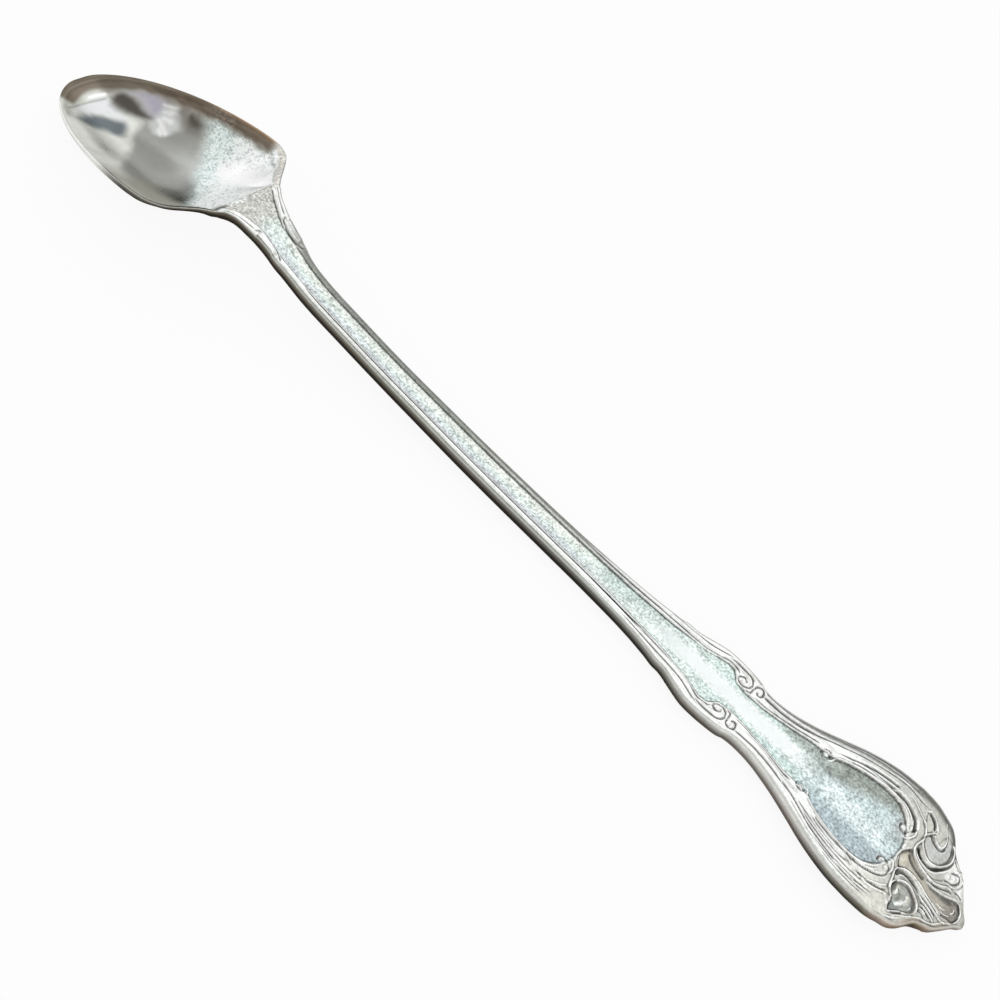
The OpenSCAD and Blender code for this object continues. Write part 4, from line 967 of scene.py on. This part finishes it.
def metal():
    """Silver plate. Colour, with its painted light and shade, roughness and grain come from the mesh,
    speckle and wear from noise; the speckle is painted into the colour as glints.
    """
    mat = bpy.data.materials.new("silver_metal")
    mat.use_nodes = True
    t = mat.node_tree
    t.nodes.clear()
    place = node(t, "TexCoord", {}).outputs["Object"]
    finish_with_painted_light = node(t, "Attribute", {}, attribute_name="finish_with_painted_light").outputs["Color"]
    rough = node(t, "Attribute", {}, attribute_name="rough").outputs["Fac"]
    grain = node(t, "Attribute", {}, attribute_name="grain").outputs["Fac"]

    def noise(scale, detail):
        inputs = {"Vector": place, "Scale": scale, "Detail": detail, "Roughness": 0.6}
        return node(t, "TexNoise", inputs).outputs["Fac"]

    def span(value, a, b, lo, hi):
        inputs = {"Value": value, "From Min": a, "From Max": b, "To Min": lo, "To Max": hi}
        return node(t, "MapRange", inputs).outputs["Result"]

    def math(kind, a, b):
        return node(t, "Math", {0: a, 1: b}, operation=kind).outputs[0]

    speckle, blotch, wear = noise(2500, 2.5), noise(760, 4), noise(1500, 3)
    # brightness: fine speckle of the frosting on frosted places, painted into the colour as bright glints
    # and dark specks, soft blotches everywhere
    speckled = math("MULTIPLY", span(speckle, 0.35, 0.65, -0.4, 0.4), grain)
    blotched = math("ADD", math("MULTIPLY", grain, 0.9), 0.1)
    mottled = math("MULTIPLY", span(blotch, 0.3, 0.7, -0.22, 0.31), blotched)
    bright = math("ADD", math("ADD", mottled, 1), speckled)
    shade = node(t, "VectorMath", {}, operation="SCALE")
    t.links.new(finish_with_painted_light, shade.inputs[0])
    t.links.new(bright, shade.inputs["Scale"])
    strength = span(grain, 0, 1, 0.06, 0.4)
    broad = node(t, "Bump", {"Distance": 0.00005, "Strength": strength, "Height": blotch})
    strength = math("MULTIPLY", grain, 0.8)
    fine = node(t, "Bump", {"Distance": 0.00004, "Strength": strength, "Height": speckle, "Normal":
        broad.outputs[0]})
    shader = node(t, "BsdfPrincipled", {
        "Base Color": shade.outputs[0],
        "Metallic": span(rough, 0.26, 0.5, 1, 0.5),
        "Roughness": math("ADD", rough, span(wear, 0.3, 0.7, -0.05, 0.06)),
        "Specular Tint": (0.25, 0.25, 0.24, 1),
        "Normal": fine.outputs[0]})
    node(t, "OutputMaterial", {0: shader.outputs[0]})
    return mat


silver = metal()
for obj in (bowl, neck, stem, handle_end):
    obj.data.materials.append(silver)


# floor, world, lamp and camera
def floor():
    """A floor that looks evenly white to the camera and in the metal, and still takes soft shade."""
    mesh = bpy.data.meshes.new("floor")
    s, z = FLOOR_HALF, -FLOOR_GAP
    mesh.from_pydata([(-s, -s, z), (s, -s, z), (s, s, z), (-s, s, z)], [], [(0, 1, 2, 3)])
    obj = bpy.data.objects.new("floor", mesh)
    bpy.context.scene.collection.objects.link(obj)
    mat = bpy.data.materials.new("pale_floor")
    mat.use_nodes = True
    t = mat.node_tree
    t.nodes.clear()
    rays = node(t, "LightPath", {}).outputs
    seen = rays["Is Camera Ray"]
    for ray in ("Is Glossy Ray", "Is Transmission Ray"):
        seen = node(t, "Math", {0: seen, 1: rays[ray]}, operation="MAXIMUM").outputs[0]
    glowing = node(t, "Math", {0: seen, 1: 0.9}, operation="MULTIPLY").outputs[0]
    diffuse = node(t, "BsdfDiffuse", {"Color": (0.9, 0.9, 0.9, 1)})
    glow = node(t, "Emission", {"Color": (1, 1, 1, 1), "Strength": 1})
    mix = node(t, "MixShader", {0: glowing, 1: diffuse.outputs[0], 2: glow.outputs[0]})
    node(t, "OutputMaterial", {0: mix.outputs[0]})
    mesh.materials.append(mat)


def world():
    """A plain room: pale walls, a large window high on the far side, a dim warm zone towards the camera."""
    w = bpy.data.worlds.new("studio")
    bpy.context.scene.world = w
    w.use_nodes = True
    t = w.node_tree
    t.nodes.clear()
    way = node(t, "TexCoord", {}).outputs["Generated"]

    def blend(value, lo, hi):
        inputs = {"Value": value, "From Min": lo, "From Max": hi}
        return node(t, "MapRange", inputs, interpolation_type="SMOOTHSTEP").outputs["Result"]

    def mixed(share, under, above):
        inputs = {"Factor": share, "A": under, "B": above}
        return node(t, "Mix", inputs, data_type="RGBA").outputs["Result"]

    def zone(under, azimuth, height, inner, outer, tint):
        """A round zone of a tint, full up to inner degrees from its middle and gone at outer."""
        a, e, near, far = np.radians((azimuth, height, inner, outer))
        middle = (np.cos(e) * np.cos(a), np.cos(e) * np.sin(a), np.sin(e))
        dot = node(t, "VectorMath", {0: way, 1: middle}, operation="DOT_PRODUCT")
        return mixed(blend(dot.outputs["Value"], np.cos(far), np.cos(near)), under, tint)

    colour = (0.76, 0.76, 0.75, 1)
    for row in ((95, 58, 16, 46, (1.12, 1.13, 1.13, 1)), (165, 28, 12, 40, (1.1, 1.11, 1.11, 1)),
                (-132, 26, 12, 26, (0.62, 0.58, 0.54, 1)), (-160, 78, 4, 18, (0.62, 0.61, 0.6, 1)),
                (141, 45, 2, 13, (0.74, 0.74, 0.73, 1))):
        colour = zone(colour, *row)
    level = node(t, "SeparateXYZ", {0: way}).outputs["Z"]
    colour = mixed(blend(level, 0.16, 0.26), (0.93, 0.93, 0.92, 1), colour)
    colour = zone(colour, 170, 8, 9, 24, (1.42, 1.43, 1.43, 1))
    seen = node(t, "LightPath", {}).outputs["Is Camera Ray"]
    colour = mixed(seen, colour, (0.985, 0.985, 0.98, 1))
    back = node(t, "Background", {"Color": colour, "Strength": 1})
    node(t, "OutputWorld", {0: back.outputs[0]})


def lamp(name, place, target, size, power):
    data = bpy.data.lights.new(name, "AREA")
    data.size, data.energy = size, power
    obj = bpy.data.objects.new(name, data)
    obj.location = place
    obj.rotation_euler = (Vector(target) - Vector(place)).to_track_quat("-Z", "Y").to_euler()
    bpy.context.scene.collection.objects.link(obj)


def camera():
    """The photo's camera, fitted to matched points of the spoon's two sides."""
    data = bpy.data.cameras.new("camera")
    data.sensor_width, data.lens = 36, 41.4
    data.clip_start = 0.005
    obj = bpy.data.objects.new("camera", data)
    look = Vector(CAMERA_LOOK).normalized()
    right = look.cross(Vector(CAMERA_UP).normalized()).normalized()
    up = right.cross(look).normalized()
    m = Matrix((right, up, -look)).transposed().to_4x4()
    m.translation = CAMERA_PLACE
    obj.matrix_world = m
    bpy.context.scene.collection.objects.link(obj)
    bpy.context.scene.camera = obj


floor()
world()
lamp("key", (0.7, -0.5, 1.2), (0, 0, 0), 1.3, 2)
camera()
bpy.context.scene.view_settings.view_transform = "Standard"
